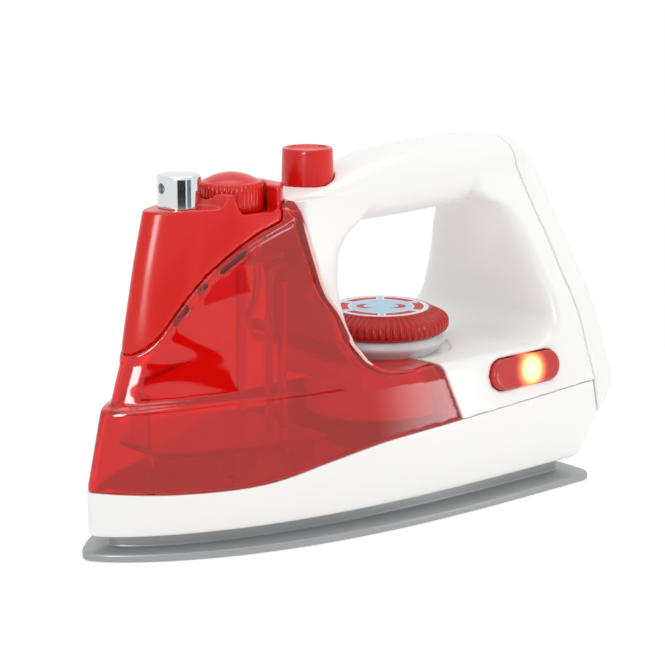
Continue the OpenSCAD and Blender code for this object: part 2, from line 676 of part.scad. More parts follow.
welt_w = 2.4;
slot_w = 2.2;
slot_shares = [[0.315, 0.39], [0.443, 0.49], [0.557, 0.711]];
slot_steps = 2;
function cover_edge_at(s, shift) = [blend(from_nose(tower_foot_from_nose), cover_rear_x, s),
    blend(cover_low_z, cover_curve_end_z, smooth(cover_curve_shares, s)) - shift];
module cover_slots() for (r = slot_shares) side_prism(concat(
    [for (i = [0 : slot_steps]) cover_edge_at(blend(r[0], r[1], i / slot_steps), welt_w + seam_gap)],
    [for (i = [slot_steps : -1 : 0]) cover_edge_at(blend(r[0], r[1], i / slot_steps), welt_w + seam_gap + slot_w)]));
module water_tank() color(clear_red) difference() {
    intersection() {
        union() {
            body_form(r = tank_shoulder_r);
            tower();
        }
        tank_region(0);
    }
    intersection() {
        union() {
            body_form(tank_wall, -overrun, tank_shoulder_r);
            tower(tank_wall);
        }
        tank_region(-tank_wall);
    }
    cover_region(-seam_gap);
    cover_slots();
    round_at(dial_x, 0, core_r + seam_gap, cut_h);
    intersection() {
        front_pillar(seam_gap);
        behind_tank(0);
    }
    for (z = [port_z, spray_port_z]) translate([button_x, 0, z]) rotate([0, -90, 0])
        cylinder(r = tube_r + seam_gap, h = bar_h);
}

tray_z = 36;
tray_t = 2;
tray_inset = 4.4;
tray_nose_inset = 7;
tray_front_share = 0.12;
tray_front_x = share_x(tray_front_share);
tray_rear_share = 0.41;
tray_rear_x = share_x(tray_rear_share);
tray_wall_t = 1.6;
tray_wall_h = 20;
tray_wall_inset = 8;
post_share = 0.385;
tray_post_h = 56;
post_half_share = 0.12;
tray_leg_shares = [[0.14, 0], [0.38, -0.173], [0.38, 0.173]];
function tray_half_w(x) = (base_half_w - tray_inset)
    * fullness((x - base_nose_x - tray_nose_inset) / base_run, nose_form);
module tank_tray() color(clear_red) union() {
    difference() {
        skin([for (z = [tray_z, tray_z + tray_t]) level_ring(half_plan(base_nose_x + tray_nose_inset, base_run,
            tray_rear_x, base_half_w - tray_inset, heel_corner), z)]);
        translate([tray_front_x - cut_h, -cut_w / 2, 0]) cube([cut_h, cut_w, cut_h]);
    }
    let (half = tray_half_w(tray_front_x) - tray_wall_inset)
        translate([tray_front_x, -half, tray_z + tray_t - fit_gap]) cube([tray_wall_t, 2 * half, tray_wall_h]);
    for (side = [-1, 1]) translate([share_x(post_share), side * post_half_share * sole_w, tray_z + tray_t - fit_gap])
        cylinder(r = post_r, h = tray_post_h);
    for (s = tray_leg_shares) translate([share_x(s[0]), s[1] * sole_w, base_floor_z])
        cylinder(r = post_r, h = tray_z - base_floor_z + fit_gap);
}

// Side outline of the cover's top: low at the nozzle, rising in an S to the rim round the cap
rim_start_from_nose = 53.8;
rim_peak_from_nose = 58.2;
rim_drop = 1.8;
rim_peak_z = tower_top_z - rim_drop;
rim_steps = 6;
notch_drop = 9.5;
notch_z = tower_top_z - notch_drop;
notch_front = [62.5, 59.5];
notch_rear = [78, 80];
module cover_top() side_prism(concat(
    [[-cut_h, nozzle_deck_z]],
    [for (i = [0 : rim_steps]) let (s = i / rim_steps)
        [from_nose(blend(rim_start_from_nose, rim_peak_from_nose, s)),
            blend(nozzle_deck_z, rim_peak_z, (1 - cos(180 * s)) / 2)]],
    [[cover_rear_x, tower_top_z], [cut_h, tower_top_z], [cut_h, cut_h], [-cut_h, cut_h]]));
neck_r = neck_bore / 2 + cover_wall;
neck_h = 12;
module front_cover() color(red) difference() {
    intersection() {
        tower();
        cover_region(0);
    }
    difference() {
        tower(cover_wall);
        translate([-cut_h, -cut_w / 2, nozzle_deck_z - cover_wall]) cube([2 * cut_h, cut_w, cut_h]);
        round_at(cap_x, well_floor_z - cover_wall, cap_well_r + cover_wall, cut_h);
        translate([cap_x, -cut_w / 2, 0]) cube([cut_h, cut_w, cut_h]);
    }
    cover_top();
    round_at(cap_x, well_floor_z, cap_well_r, cut_h);
    round_at(cap_x, 0, neck_r + fit_gap, cut_h);
    side_prism([[from_nose(notch_front[0]), notch_z], [from_nose(notch_rear[0]), notch_z],
        [from_nose(notch_rear[1]), cut_h], [from_nose(notch_front[1]), rim_peak_z],
        [from_nose(notch_front[1]), cut_h]]);
    round_at(nozzle_x, 0, core_stem_r + fit_gap, cut_h);
}

neck_flange_t = 1.2;
module filler_neck() color(red) difference() {
    union() {
        round_at(cap_x, well_floor_z - neck_h, neck_r, neck_h);
        round_at(cap_x, well_floor_z, neck_r + overrun, neck_flange_t);
    }
    round_at(cap_x, well_floor_z - neck_h - overrun, neck_bore / 2, neck_h + 2 * overrun + neck_flange_t);
}

// Filler cap: knurled ring, dome, and a plug that reaches into the neck with a seal round it
cap_z = well_floor_z + neck_flange_t + fit_gap;
cap_bevel = 0.8;
cap_knurls = 36;
dome_r = cap_d / 2 - 2 * cap_bevel;
dome_steps = 6;
knurl_depth = 0.5;
plug_r = neck_bore / 2 - 2 * seam_gap;
plug_h = 7;
cap_seal_h = 1.6;
cap_seal_t = 1;
cap_seal_z = cap_z - plug_h / 2;
cap_lift = 30;
module knurled(r, teeth, h) linear_extrude(height = h) polygon([for (i = [0 : 2 * teeth - 1])
    let (a = 180 * i / teeth, rr = i % 2 == 0 ? r : r - knurl_depth) [rr * cos(a), rr * sin(a)]]);
module filler_cap() color(red) translate([cap_x, 0, cap_z]) difference() {
    union() {
        intersection() {
            knurled(cap_d / 2, cap_knurls, cap_h);
            rotate_extrude() polygon([[0, 0], [cap_d / 2 + overrun, 0], [cap_d / 2 + overrun, cap_h - 2 * cap_bevel],
                [cap_d / 2 - 2 * cap_bevel, cap_h], [0, cap_h]]);
        }
        translate([0, 0, cap_h - cap_bevel]) rotate_extrude() polygon(concat([[0, 0], [dome_r, 0]],
            [for (i = [0 : dome_steps]) let (s = 1 - i / dome_steps)
                [dome_r * s, cap_bevel + cap_dome_h * (1 - s * s)]]));
        translate([0, 0, -plug_h]) cylinder(r = plug_r, h = plug_h + overrun);
    }
    translate([0, 0, cap_seal_z - cap_z]) difference() {
        cylinder(r = neck_bore, h = cap_seal_h + 2 * run_gap, center = true);
        cylinder(r = plug_r - cap_seal_t, h = cap_seal_h + overrun, center = true);
    }
    translate([0, 0, -plug_h - overrun]) cylinder(r = plug_r - 3 * cap_seal_t, h = plug_h);
}
module cap_seal() color("#2a2a2c") translate([cap_x, 0, cap_seal_z]) difference() {
    cylinder(r = neck_bore / 2 - run_gap, h = cap_seal_h, center = true);
    cylinder(r = plug_r - cap_seal_t + run_gap, h = cap_seal_h + overrun, center = true);
}

// Spray nozzle: a plated cap over a core that carries the jet
nozzle_wall = 1.2;
jet_d = 3.8;
jet_z_share = 0.62;
core_stem_r = 3.2;
core_low_z = nozzle_deck_z - 3 * cover_wall;
nozzle_edge = 0.6;
module spray_nozzle() color(steel) translate([nozzle_x, 0, nozzle_deck_z]) difference() {
    rotate_extrude() polygon([[0, 0], [nozzle_d / 2, 0], [nozzle_d / 2, nozzle_h - nozzle_edge],
        [nozzle_d / 2 - nozzle_edge, nozzle_h], [0, nozzle_h]]);
    translate([0, 0, -overrun]) cylinder(r = nozzle_d / 2 - nozzle_wall, h = nozzle_h - nozzle_wall + overrun);
    translate([0, 0, nozzle_h * jet_z_share]) rotate([0, -90, 0]) cylinder(r = jet_d / 2, h = nozzle_d);
}
module nozzle_core() color(grey) translate([nozzle_x, 0, 0]) {
    translate([0, 0, core_low_z]) cylinder(r = core_stem_r, h = nozzle_deck_z - core_low_z + overrun);
    translate([0, 0, nozzle_deck_z])
        cylinder(r = nozzle_d / 2 - nozzle_wall - fit_gap, h = nozzle_h - nozzle_wall - fit_gap);
}

// Tubes: round sections swept along a bent path in the middle plane
tube_sides = 10;
bend_steps = 6;
function arc_points(cx, cz, r, from, to) = [for (i = [0 : bend_steps]) let (a = blend(from, to, i / bend_steps))
    [cx + r * cos(a), cz + r * sin(a)]];
module tube(path) {
    n = len(path);
    dirs = [for (i = [0 : n - 1]) let (d = path[min(i + 1, n - 1)] - path[max(i - 1, 0)]) d / norm(d)];
    points = [for (i = [0 : n - 1], k = [0 : tube_sides - 1]) let (a = 360 * k / tube_sides)
        [path[i][0] - dirs[i][1] * tube_r * cos(a), tube_r * sin(a), path[i][1] + dirs[i][0] * tube_r * cos(a)]];
    polyhedron(points = points, faces = concat(
        [for (i = [0 : n - 2], k = [0 : tube_sides - 1]) let (a = i * tube_sides + k,
            b = i * tube_sides + (k + 1) % tube_sides) each [[a, b, b + tube_sides], [a, b + tube_sides, a + tube_sides]]],
        [[for (k = [tube_sides - 1 : -1 : 0]) k]],
        [[for (k = [0 : tube_sides - 1]) (n - 1) * tube_sides + k]]));
}
tube_start_x = button_x - pump_d / 2 - fit_gap;
spray_run_z = port_z + 2 * tube_r;
module spray_tube() color("#e8e6df") tube(concat(
    [[tube_start_x, spray_port_z], [tube_start_x - tube_bend, spray_port_z],
        [tube_start_x - 2 * tube_bend, spray_run_z]],
    arc_points(nozzle_x + tube_bend, spray_run_z + tube_bend, tube_bend, 270, 180),
    [[nozzle_x, core_low_z - fit_gap]]));
dip_low_z = tray_z + tray_t + overrun;
module dip_tube() color("#e8e6df") tube(concat([[tube_start_x, port_z]],
    arc_points(tube_start_x - tube_bend, port_z - tube_bend, tube_bend, 90, 180),
    [[tube_start_x - 2 * tube_bend, dip_low_z]]));

// Spray button, its guide and the pump
button_dish = 1;
button_rim = 2.2;
button_ceiling = 2.6;
button_taper = 0.4;
module spray_button() color(red) translate([button_x, 0, 0]) difference() {
    union() {
        translate([0, 0, button_low_z]) cylinder(r = button_r, h = guide_z + guide_h - button_low_z);
        translate([0, 0, guide_z + guide_h]) cylinder(r1 = button_r, r2 = button_r - button_taper,
            h = button_top_z - guide_z - guide_h);
    }
    translate([0, 0, button_top_z - button_dish]) cylinder(r = button_r - button_rim, h = button_dish + overrun);
    difference() {
        translate([0, 0, button_low_z - overrun]) cylinder(r = button_r - button_wall,
            h = button_top_z - button_ceiling - button_low_z + overrun);
        cylinder(r = rod_r + button_wall, h = cut_h);
    }
    cylinder(r = rod_r, h = button_top_z - 2 * button_ceiling);
}
module button_guide() color(white) difference() {
    round_at(button_x, guide_z, guide_r, guide_h);
    round_at(button_x, guide_z - overrun, guide_bore_r, guide_h + 2 * overrun);
}
module pump_cylinder() color("#e8e6df") difference() {
    union() {
        round_at(button_x, pump_z, pump_d / 2, guide_z - pump_z);
        round_at(button_x, guide_z, pump_flange_r, pump_flange_t);
    }
    round_at(button_x, pump_z + 2 * body_wall, pump_bore / 2, guide_h + guide_z);
    round_at(button_x, pump_z + body_wall, valve_r + run_gap, 2 * body_wall);
    for (z = [port_z, spray_port_z]) translate([button_x, 0, z]) rotate([0, -90, 0])
        cylinder(r = tube_r / 2, h = pump_d);
}
valve_r = 1.4;
module valve_ball() color(steel) translate([button_x, 0, pump_z + body_wall + valve_r]) sphere(r = valve_r);
module pump_plunger() color(grey) difference() {
    union() {
        round_at(button_x, piston_z, pump_bore / 2 - run_gap, piston_h);
        round_at(button_x, piston_z, rod_r, button_top_z - 2 * button_ceiling - piston_z);
    }
    translate([button_x, 0, piston_z + piston_h / 2]) difference() {
        cylinder(r = pump_bore, h = seal_t + 2 * run_gap, center = true);
        cylinder(r = pump_bore / 2 - seal_w - run_gap, h = seal_t + overrun, center = true);
    }
}
module plunger_seal() color("#2a2a2c") translate([button_x, 0, piston_z + piston_h / 2]) difference() {
    cylinder(r = pump_bore / 2 - run_gap / 2, h = seal_t, center = true);
    cylinder(r = pump_bore / 2 - seal_w, h = seal_t + overrun, center = true);
}
// Return spring round the rod: one wire wound as a helix
spring_turns = 5;
spring_wire_r = 0.5;
spring_r = 6;
spring_ring_steps = 8;
spring_sides = 6;
spring_low_z = guide_z + pump_flange_t + spring_wire_r + run_gap;
spring_top_z = button_top_z - button_ceiling - spring_wire_r - run_gap;
module button_spring() color(steel) {
    steps = spring_turns * spring_ring_steps;
    points = [for (i = [0 : steps], k = [0 : spring_sides - 1])
        let (a = 360 * i / spring_ring_steps, b = 360 * k / spring_sides, r = spring_r + spring_wire_r * cos(b))
            [button_x + r * cos(a), r * sin(a),
                blend(spring_low_z, spring_top_z, i / steps) + spring_wire_r * sin(b)]];
    polyhedron(points = points, faces = concat(
        [for (i = [0 : steps - 1], k = [0 : spring_sides - 1]) let (a = i * spring_sides + k,
            b = i * spring_sides + (k + 1) % spring_sides)
            each [[a, b + spring_sides, b], [a, a + spring_sides, b + spring_sides]]],
        [[for (k = [0 : spring_sides - 1]) k]],
        [[for (k = [spring_sides - 1 : -1 : 0]) steps * spring_sides + k]]));
}

// Dial: collar, knurled knob, printed disc, shaft and clip
collar_waist_share = 0.82;
collar_belly_share = 0.96;
collar_lip_share = 0.9;
collar_belly_z_share = 0.6;
module dial_collar() color("#c9cbcc") translate([dial_x, 0, deck_z]) difference() {
    rotate_extrude() polygon([[0, 0], [dial_d / 2 * collar_waist_share, 0],
        [dial_d / 2 * collar_belly_share, collar_h * collar_belly_z_share],
        [dial_d / 2 * collar_lip_share, collar_h], [0, collar_h]]);
    translate([0, 0, -overrun]) cylinder(r = shaft_d / 2 + run_gap, h = collar_h + 2 * overrun);
}
dial_knurls = 44;
dial_side_share = 0.62;
dial_foot_share = 0.15;
dial_foot_in = 1.6;
label_t = 0.6;
label_rim = 0.5;
module dial_knob() color(red) translate([dial_x, 0, dial_z]) difference() {
    intersection() {
        knurled(dial_d / 2, dial_knurls, dial_h);
        rotate_extrude() polygon([[0, 0], [dial_d / 2 - dial_foot_in, 0], [dial_d / 2, dial_h * dial_foot_share],
            [dial_d / 2, dial_h * dial_side_share], [label_d / 2 + label_rim, dial_h], [0, dial_h]]);
    }
    translate([0, 0, dial_h - label_t]) cylinder(r = label_d / 2 + run_gap, h = label_t + overrun);
    translate([0, 0, -overrun]) cylinder(r = shaft_d / 2, h = dial_h / 2 + overrun);
}
module dial_label() color("#bfe0f2") round_at(dial_x, dial_top_z - label_t, label_d / 2, label_t);
module dial_shaft() color(grey) difference() {
    round_at(dial_x, shaft_low_z, shaft_d / 2, dial_z + dial_h / 2 - shaft_low_z);
    translate([dial_x, 0, clip_z]) difference() {
        cylinder(r = shaft_d, h = shaft_clip_t);
        translate([0, 0, -overrun]) cylinder(r = shaft_d / 2 - overrun, h = shaft_clip_t + 2 * overrun);
    }
}
clip_z = deck_z - body_wall - shaft_clip_t - seam_gap;
module dial_clip() color(steel) translate([dial_x, 0, clip_z]) difference() {
    cylinder(r = shaft_d, h = shaft_clip_t);
    translate([0, 0, -overrun]) cylinder(r = shaft_d / 2 - overrun, h = shaft_clip_t + 2 * overrun);
    translate([0, -shaft_d / 4, -overrun]) cube([shaft_d + overrun, shaft_d / 2, shaft_clip_t + 2 * overrun]);
}

// Light button, lamp, switch and circuit board
pill_face_edge = 0.8;
module light_button() color(red) on_pill() {
    translate([0, 0, -pill_depth]) linear_extrude(height = pill_depth + pill_proud - pill_face_edge) pill_shape(0);
    translate([0, 0, pill_proud - pill_face_edge]) linear_extrude(height = pill_face_edge) pill_shape(-pill_face_edge);
    translate([0, 0, -pill_depth]) linear_extrude(height = pill_depth - body_wall - seam_gap)
        pill_shape(pill_flange);
}
module light_lamp() color("#ffd9c8") on_pill() translate([0, 0, board_out]) {
    cylinder(r = lamp_r, h = lamp_h - lamp_r);
    translate([0, 0, lamp_h - lamp_r]) sphere(r = lamp_r);
}
module light_switch() color("#2a2a2c") on_pill() translate([pill_len / 3, 0, board_out]) {
    translate([-switch_size / 2, -switch_size / 2, 0]) cube([switch_size, switch_size, lamp_h - switch_step]);
    cylinder(r = switch_size / 4, h = lamp_h);
}
module circuit_board() color("#2f7d46") difference() {
    on_pill() translate([-board_len / 2, -board_drop - board_h / 2, board_out - board_t])
        cube([board_len, board_h, board_t]);
    at_posts() translate([0, 0, -board_t - overrun]) cylinder(r = board_screw_r + fit_gap, h = board_t + 2 * overrun);
}
module board_screws() color(steel) at_posts() translate([0, 0, -board_t - screw_head_t]) {
    cylinder(r = board_head_r, h = screw_head_t);
    cylinder(r = board_screw_r, h = screw_head_t + board_t + board_gap - overrun - fit_gap);
}

// Cells and their door
terminal_r = 2.6;
terminal_h = 0.8;
module battery_cells() color("#3f6fb0") for (side = [-1, 1]) translate([tub_x, side * (cell_d + cell_gap) / 2, cell_z])
    rotate([0, 90 * side, 0]) {
        translate([0, 0, -cell_len / 2]) cylinder(r = cell_d / 2, h = cell_len - terminal_h);
        translate([0, 0, cell_len / 2 - terminal_h]) cylinder(r = terminal_r, h = terminal_h);
    }
module battery_contacts() color(steel) for (end = [-1, 1])
    translate([tub_x + end * (tub_len - contact_t) / 2 - contact_t / 2, -tub_w / 2 + cell_gap, cell_z - cell_d / 3])
        cube([contact_t, tub_w - 2 * cell_gap, 2 * cell_d / 3]);
door_z = 0.3;
door_screw_r = 1;
module battery_door() color(sole_colour) difference() {
    translate([tub_x - door_len / 2, -door_w / 2, door_z]) cube([door_len, door_w, door_t - door_z]);
    translate([tub_x + tub_len / 2 + door_edge / 2, 0, 0]) cylinder(r = door_screw_r, h = sole_t);
}
module door_screw() color(steel) translate([tub_x + tub_len / 2 + door_edge / 2, 0, door_z])
    cylinder(r = door_screw_r - run_gap, h = door_t - door_z);
module sole_screws() color(steel) for (p = sole_screw_places) translate([p[0], p[1], 0]) {
    cylinder(r = screw_head_r, h = screw_head_t);
    cylinder(r = screw_r - run_gap, h = sole_screw_top_z - fit_gap);
}
module body_screws() color(steel) for (p = body_screw_places) translate([p[0], 0, p[1]]) rotate([-90, 0, 0]) {
    translate([0, 0, -body_screw_len / 2]) cylinder(r = screw_r, h = body_screw_len);
    translate([0, 0, body_screw_len / 2]) cylinder(r = screw_head_r, h = screw_head_t);
}
module rear_cover_screws() color(steel) for (side = [-1, 1]) rear_screw_at(side) {
    translate([0, 0, -screw_head_t]) cylinder(r = screw_head_r, h = screw_head_t);
    cylinder(r = screw_r, h = cover_screw_len - overrun);
}

soleplate();
base_shell();
body_shell_left();
body_shell_right();
rear_cover();
water_tank();
tank_tray();
front_cover();
filler_neck();
filler_cap();
cap_seal();
spray_nozzle();
nozzle_core();
spray_tube();
dip_tube();
spray_button();
button_guide();
button_spring();
pump_cylinder();
pump_plunger();
plunger_seal();
valve_ball();
dial_collar();
dial_knob();
dial_label();
dial_shaft();
dial_clip();
light_button();
light_lamp();
light_switch();
circuit_board();
board_screws();
battery_cells();
battery_contacts();
battery_door();
door_screw();
sole_screws();
body_screws();
rear_cover_screws();
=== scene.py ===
"""Looks of the toy steam iron: smooth moulded shells, a clear tank, a printed dial and studio light."""
import math

import bmesh
import bpy
import numpy as np
from mathutils import Matrix, Vector


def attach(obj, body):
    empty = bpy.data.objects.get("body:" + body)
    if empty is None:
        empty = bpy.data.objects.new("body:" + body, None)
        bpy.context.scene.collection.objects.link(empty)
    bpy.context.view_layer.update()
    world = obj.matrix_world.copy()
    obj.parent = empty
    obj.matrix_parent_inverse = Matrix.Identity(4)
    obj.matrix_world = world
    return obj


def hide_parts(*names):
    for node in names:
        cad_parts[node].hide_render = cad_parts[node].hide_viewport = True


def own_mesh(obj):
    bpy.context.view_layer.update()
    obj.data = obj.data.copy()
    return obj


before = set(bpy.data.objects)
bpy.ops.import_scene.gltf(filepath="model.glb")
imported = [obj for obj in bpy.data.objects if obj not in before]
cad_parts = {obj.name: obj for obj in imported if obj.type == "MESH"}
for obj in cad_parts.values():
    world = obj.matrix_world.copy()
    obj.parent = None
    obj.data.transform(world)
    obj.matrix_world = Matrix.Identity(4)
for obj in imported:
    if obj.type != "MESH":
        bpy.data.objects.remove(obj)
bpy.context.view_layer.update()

MM = 0.001

# Sizes in mm, the main ones the same as in the part's source
NOSE_X, SOLE_LEN, SOLE_W, SOLE_T, SOLE_CORNER = -116.5, 214, 104, 3, 6
SOLE_REAR_X = NOSE_X + SOLE_LEN
RISER_INSET, RISER_REAR_INSET = 11.3, 6.5
HEEL_X, HEEL_Z, HEEL_LEAN, REAR_COVER_T, HEEL_CORNER = 116.5, 36.6, math.radians(12), 11.2, 2.5
BASE_Z, BASE_NOSE_X, BASE_REAR_X, BASE_HALF_W, BASE_EDGE = 8.6, -113.9, 96.5, 45.4, 1.2
BASE_RUN, BASE_WALL, BASE_FLOOR_Z = BASE_REAR_X - BASE_NOSE_X, 2.2, 11.1
SEAM_FRONT_Z, SEAM_HEEL_Z, SEAM_GAP, SEAM_EDGE, FIT_GAP, OVERRUN = 23.6, 39, 0.4, 0.3, 0.15, 1
LEDGE_FRONT_Z, LEDGE_Z, SHOULDER_R, TANK_SHOULDER_R, SIDE_LEAN, NOSE_LEAN = 54.5, 58, 4, 2, 2.5, 6.2
DECK_Z, BODY_WALL, TANK_WALL, COVER_WALL = 56.5, 2.4, 2, 2.2
LOBE_X, LOBE_SLANT, TANK_FOOT_Z, TANK_TOP_Z = 29.5, math.radians(20), 60, 124
TANK_EDGE_FOOT, TANK_EDGE_TOP, TOWER_REAR_X = -5, -31, 14
TOWER_FOOT_Z, TOWER_TOP_Z, TOWER_FOOT_X, TOWER_TOP_X = 50, 130.5, -105, -84.8
TOWER_FOOT_W, TOWER_TOP_W, TOWER_TOP_RUN, TOWER_CORNER = 85.4, 32.4, 32.4 * 1.85, 7
PILLAR_REAR_X, PILLAR_FLARE, PILLAR_FOOT_HALF_W, PILLAR_FOOT_Z = -6, 20, 24, 48
REAR_FOOT_Z, REAR_FRONT_HIGH_X, REAR_FRONT_LOW_X, REAR_ROUND_RUN = 54, NOSE_X + 183, NOSE_X + 199, 6
BAR_TOP_Z, BAR_H, BAR_W, BAR_FRONT_Z, BAR_BULGE = 139, 28.4, 32, 125, 1
NOZZLE_X, NOZZLE_DECK_Z, NOZZLE_STEM_R, JET_Z, JET_R, JET_REACH = -71, 124, 3.35, 124 + 12 * 0.62, 1.9, 10
CAP_X, CAP_Z, CAP_WELL_R, WELL_FLOOR_Z, NECK_R = -47.5, 120.35, 13, 119, 9.7
BUTTON_X, BUTTON_STROKE, BUTTON_WELL_R, BUTTON_WELL_Z, BUTTON_WELL_H = -10.9, 5.5, 10.25, 112, 40
DIAL_X, DIAL_Z, WELL_R, WELL_H, CORE_R, SHAFT_HOLE_R, SHAFT_HOLE_H = 26.9, 64.6, 28, 18.7, 30.4, 4.2, 12
LABEL_R, LABEL_LOW_Z, LABEL_TOP_Z = 19, DIAL_Z + 8.4, DIAL_Z + 9
SHELF_R, SHELF_Z, FINGER_H = 24.4, 56.6, 17.4
COVER_END_R, COVER_REAR_X, COVER_LOW_Z, COVER_CURVE_END_Z = 19.2, -31.5, 73, 119
COVER_RIM_Z, COVER_RIM_FRONT_X, COVER_RIM_REAR_X = 128.7, NOSE_X + 53.8, NOSE_X + 58.2
NOTCH_Z, NOTCH_FRONT_X, NOTCH_LOW_X, NOTCH_HIGH_X, NOTCH_REAR_X = (
    121, NOSE_X + 59.5, NOSE_X + 62.5, NOSE_X + 78, NOSE_X + 80)
WELT_W, WELT_H, WELT_FIRST, WELT_LAST, SLOT_W, BEAD_W, BEAD_H, BEAD_LOW_Z = 2.4, 0.5, 0.02, 0.995, 1.8, 3.2, 0.6, 72
TONGUE_IN, TONGUE_PLAY, TONGUE_PLAY_SHARE, LIP_R, LIP_IN, LIP_SUNK, LIP_TOP_Z = 0.5, 0.1, 0.004, 0.7, 0.75, 0.55, 118
PILL_X, PILL_Z, PILL_LEN, PILL_W, PILL_DEPTH = 64.5, 49.7, 37, 12, 5
PILL_TILT = math.atan(SIDE_LEAN / (LEDGE_Z - SHOULDER_R - SEAM_HEEL_Z))
PILL_Y = -(BASE_HALF_W - SIDE_LEAN * (PILL_Z - SEAM_HEEL_Z) / (LEDGE_Z - SHOULDER_R - SEAM_HEEL_Z))
SCREW_HOLE_R, BODY_SCREW_Y, COVER_SCREW_Y, COVER_SCREW_Z, SOLE_SCREW_DEPTH = 3.2, 11, 20, 62, 1.7
BODY_SCREWS = [(7.62, 122.04), (69.68, 120.1), (90.01, 74.09)]
SOLE_SCREWS = [(-76.48, 0), (-21.48, -21.84), (-21.48, 21.84), (79.52, -23.92), (79.52, 23.92)]
TUB_X, TUB_LEN, TUB_W, TUB_TOP_Z, TUB_WALL = 33.3, 52.6, 29.9, 18.2, 1.8
DOOR_FRONT_X, DOOR_REAR_X, DOOR_HALF_W, DOOR_DEPTH = 4.2, 62.8, 18.35, 1.8
# Reach of the cutting bodies, past every outline
CUT_W, CUT_H = 208, 278

# Fullness of an outline: how it bends at the nose and how fast it fills out
NOSE_FORM, TOWER_TOP_FORM, ROUND_FORM, FLAT_FORM = (0.78, 3.3), (0.58, 2.7), (0.5, 2), (0.22, 2)
SIDE_STEPS, CORNER_STEPS, LOFT_STEPS, BAR_STEPS, BAR_ROUND_STEPS, PILL_STEPS, NOSE_R = 80, 8, 48, 60, 28, 48, 2.2
# Edge rounding in mm: size of the even faces, and how often they are relaxed
EDGE_VOXEL, EDGE_ROUNDS, FLANK_VOXEL, FLANK_ROUNDS = 0.6, 6, 0.8, 130
# The flank is rounded fully behind the second length and between the two middle heights, and not past the others
FLANK_X, FLANK_Z = (-70, -15), (40, 48, 74, 84)

# Curves that the shells follow, as tables of (share of the way, share of the change)
SEAM_ROWS = [[0.01, 0.1], [0.14, 0], [0.28, 0.04], [0.4, 0.36], [0.51, 0.61], [0.68, 0.77], [1, 1]]
LEDGE_ROWS = [[0.05, 0], [0.08, 0.12], [0.18, 0.55], [0.28, 0.8], [0.34, 0.95], [0.45, 1], [1, 1]]
FLARE_ROWS = [[0, 0], [0.4, 0.38], [0.64, 0.67], [1, 1]]
TOWER_LEAN_ROWS = [[0, 0], [0.09, 0.124], [0.18, 0.24], [0.26, 0.35], [0.35, 0.41], [0.53, 0.56],
                   [0.7, 0.7], [0.88, 0.876], [1, 1]]
TOWER_SLIM_ROWS = [[0, 0], [0.1, 0.03], [0.17, 0.166], [0.27, 0.355], [0.37, 0.63], [0.47, 0.857],
                   [0.62, 0.955], [0.78, 0.985], [1, 1]]
TANK_EDGE_ROWS = [[0, 0], [0.03, 0.12], [0.069, 0.24], [0.12, 0.345], [0.18, 0.39], [0.33, 0.41], [0.44, 0.51],
                  [0.64, 0.635], [0.92, 0.86], [1, 1]]
# Hollow sweep from the lobe's top up into the tank's rear edge, which goes on from the height below
SWEEP_FOOT = [(10, 57.9), (5, 58.1), (0, 58.7), (-4, 59.8), (-7.5, 61.7), (-10.3, 64.2), (-12.6, 67.4)]
SWEEP_END_Z = 70
# First and last share of each slot along the cover's lower edge
SLOT_ROWS = [[0.315, 0.39], [0.443, 0.49], [0.557, 0.711]]
COVER_CURVE_ROWS = [[0, 0], [0.12, 0.01], [0.22, 0.12], [0.35, 0.38], [0.5, 0.62], [0.75, 0.86], [1, 1]]
PILLAR_ROWS = [[0, 0], [0.16, 0.08], [0.27, 0.2], [0.4, 0.48], [0.52, 0.82], [0.68, 0.95], [1, 1]]
PILLAR_REAR_ROWS = [[0, 1], [0.16, 1], [0.24, 0.3], [0.35, 0], [0.68, 0], [0.78, 0.2], [0.86, 0.6], [1, 1.4]]
REAR_HALF_ROWS = [[0, 0], [0.12, 0.045], [0.26, 0.165], [0.4, 0.35], [0.56, 0.53], [0.7, 0.73], [0.86, 0.93],
                  [0.93, 1.02], [1, 1.22]]
REAR_FRONT_ROWS = [[0, 0], [0.05, 0.25], [0.07, 0.56], [0.1, 0.78], [0.13, 0.92], [0.17, 1], [0.27, 0.99],
                   [0.36, 0.9], [0.46, 0.8], [0.56, 0.67], [0.65, 0.55], [0.7, 0.44], [0.74, 0.28], [0.77, 0],
                   [0.82, -0.4], [1, -0.5]]
BAR_TOP_ROWS = [[0, 0], [0.08, 0.14], [0.16, 0.27], [0.24, 0.43], [0.33, 0.66], [0.45, 0.86], [0.58, 0.965],
                [0.75, 1], [0.9, 0.93], [0.96, 0.78], [1, 0.42]]
BAR_LOW_ROWS = [[0, 0], [0.45, 0], [0.65, 0.04], [0.82, 0.12], [1, 0.3]]
BAR_HALF_ROWS = [[0, 0.9], [0.1, 1], [0.88, 1], [0.96, 0.93], [1, 0.72]]


def blend(a, b, s):
    return a + (b - a) * s


def smooth(rows, x):
    """Smooth curve through a table's rows, each row's slope taken from its neighbours."""
    t = np.array(rows, float)
    last = len(t) - 1
    i = np.arange(last + 1)
    low, high = np.maximum(i - 1, 0), np.minimum(i + 1, last)
    slope = (t[high, 1] - t[low, 1]) / (t[high, 0] - t[low, 0])
    x = np.clip(np.asarray(x, float), t[0, 0], t[-1, 0])
    i = np.clip(np.searchsorted(t[:, 0], x, "right") - 1, 0, last - 1)
    h = t[i + 1, 0] - t[i, 0]
    s = (x - t[i, 0]) / h
    return (t[i, 1] * (1 + 2 * s) * (1 - s) ** 2 + slope[i] * h * s * (1 - s) ** 2
            + t[i + 1, 1] * s ** 2 * (3 - 2 * s) + slope[i + 1] * h * s ** 2 * (s - 1))


def seam_at(x):
    return blend(SEAM_FRONT_Z, SEAM_HEEL_Z, smooth(SEAM_ROWS, (x - NOSE_X) / SOLE_LEN))


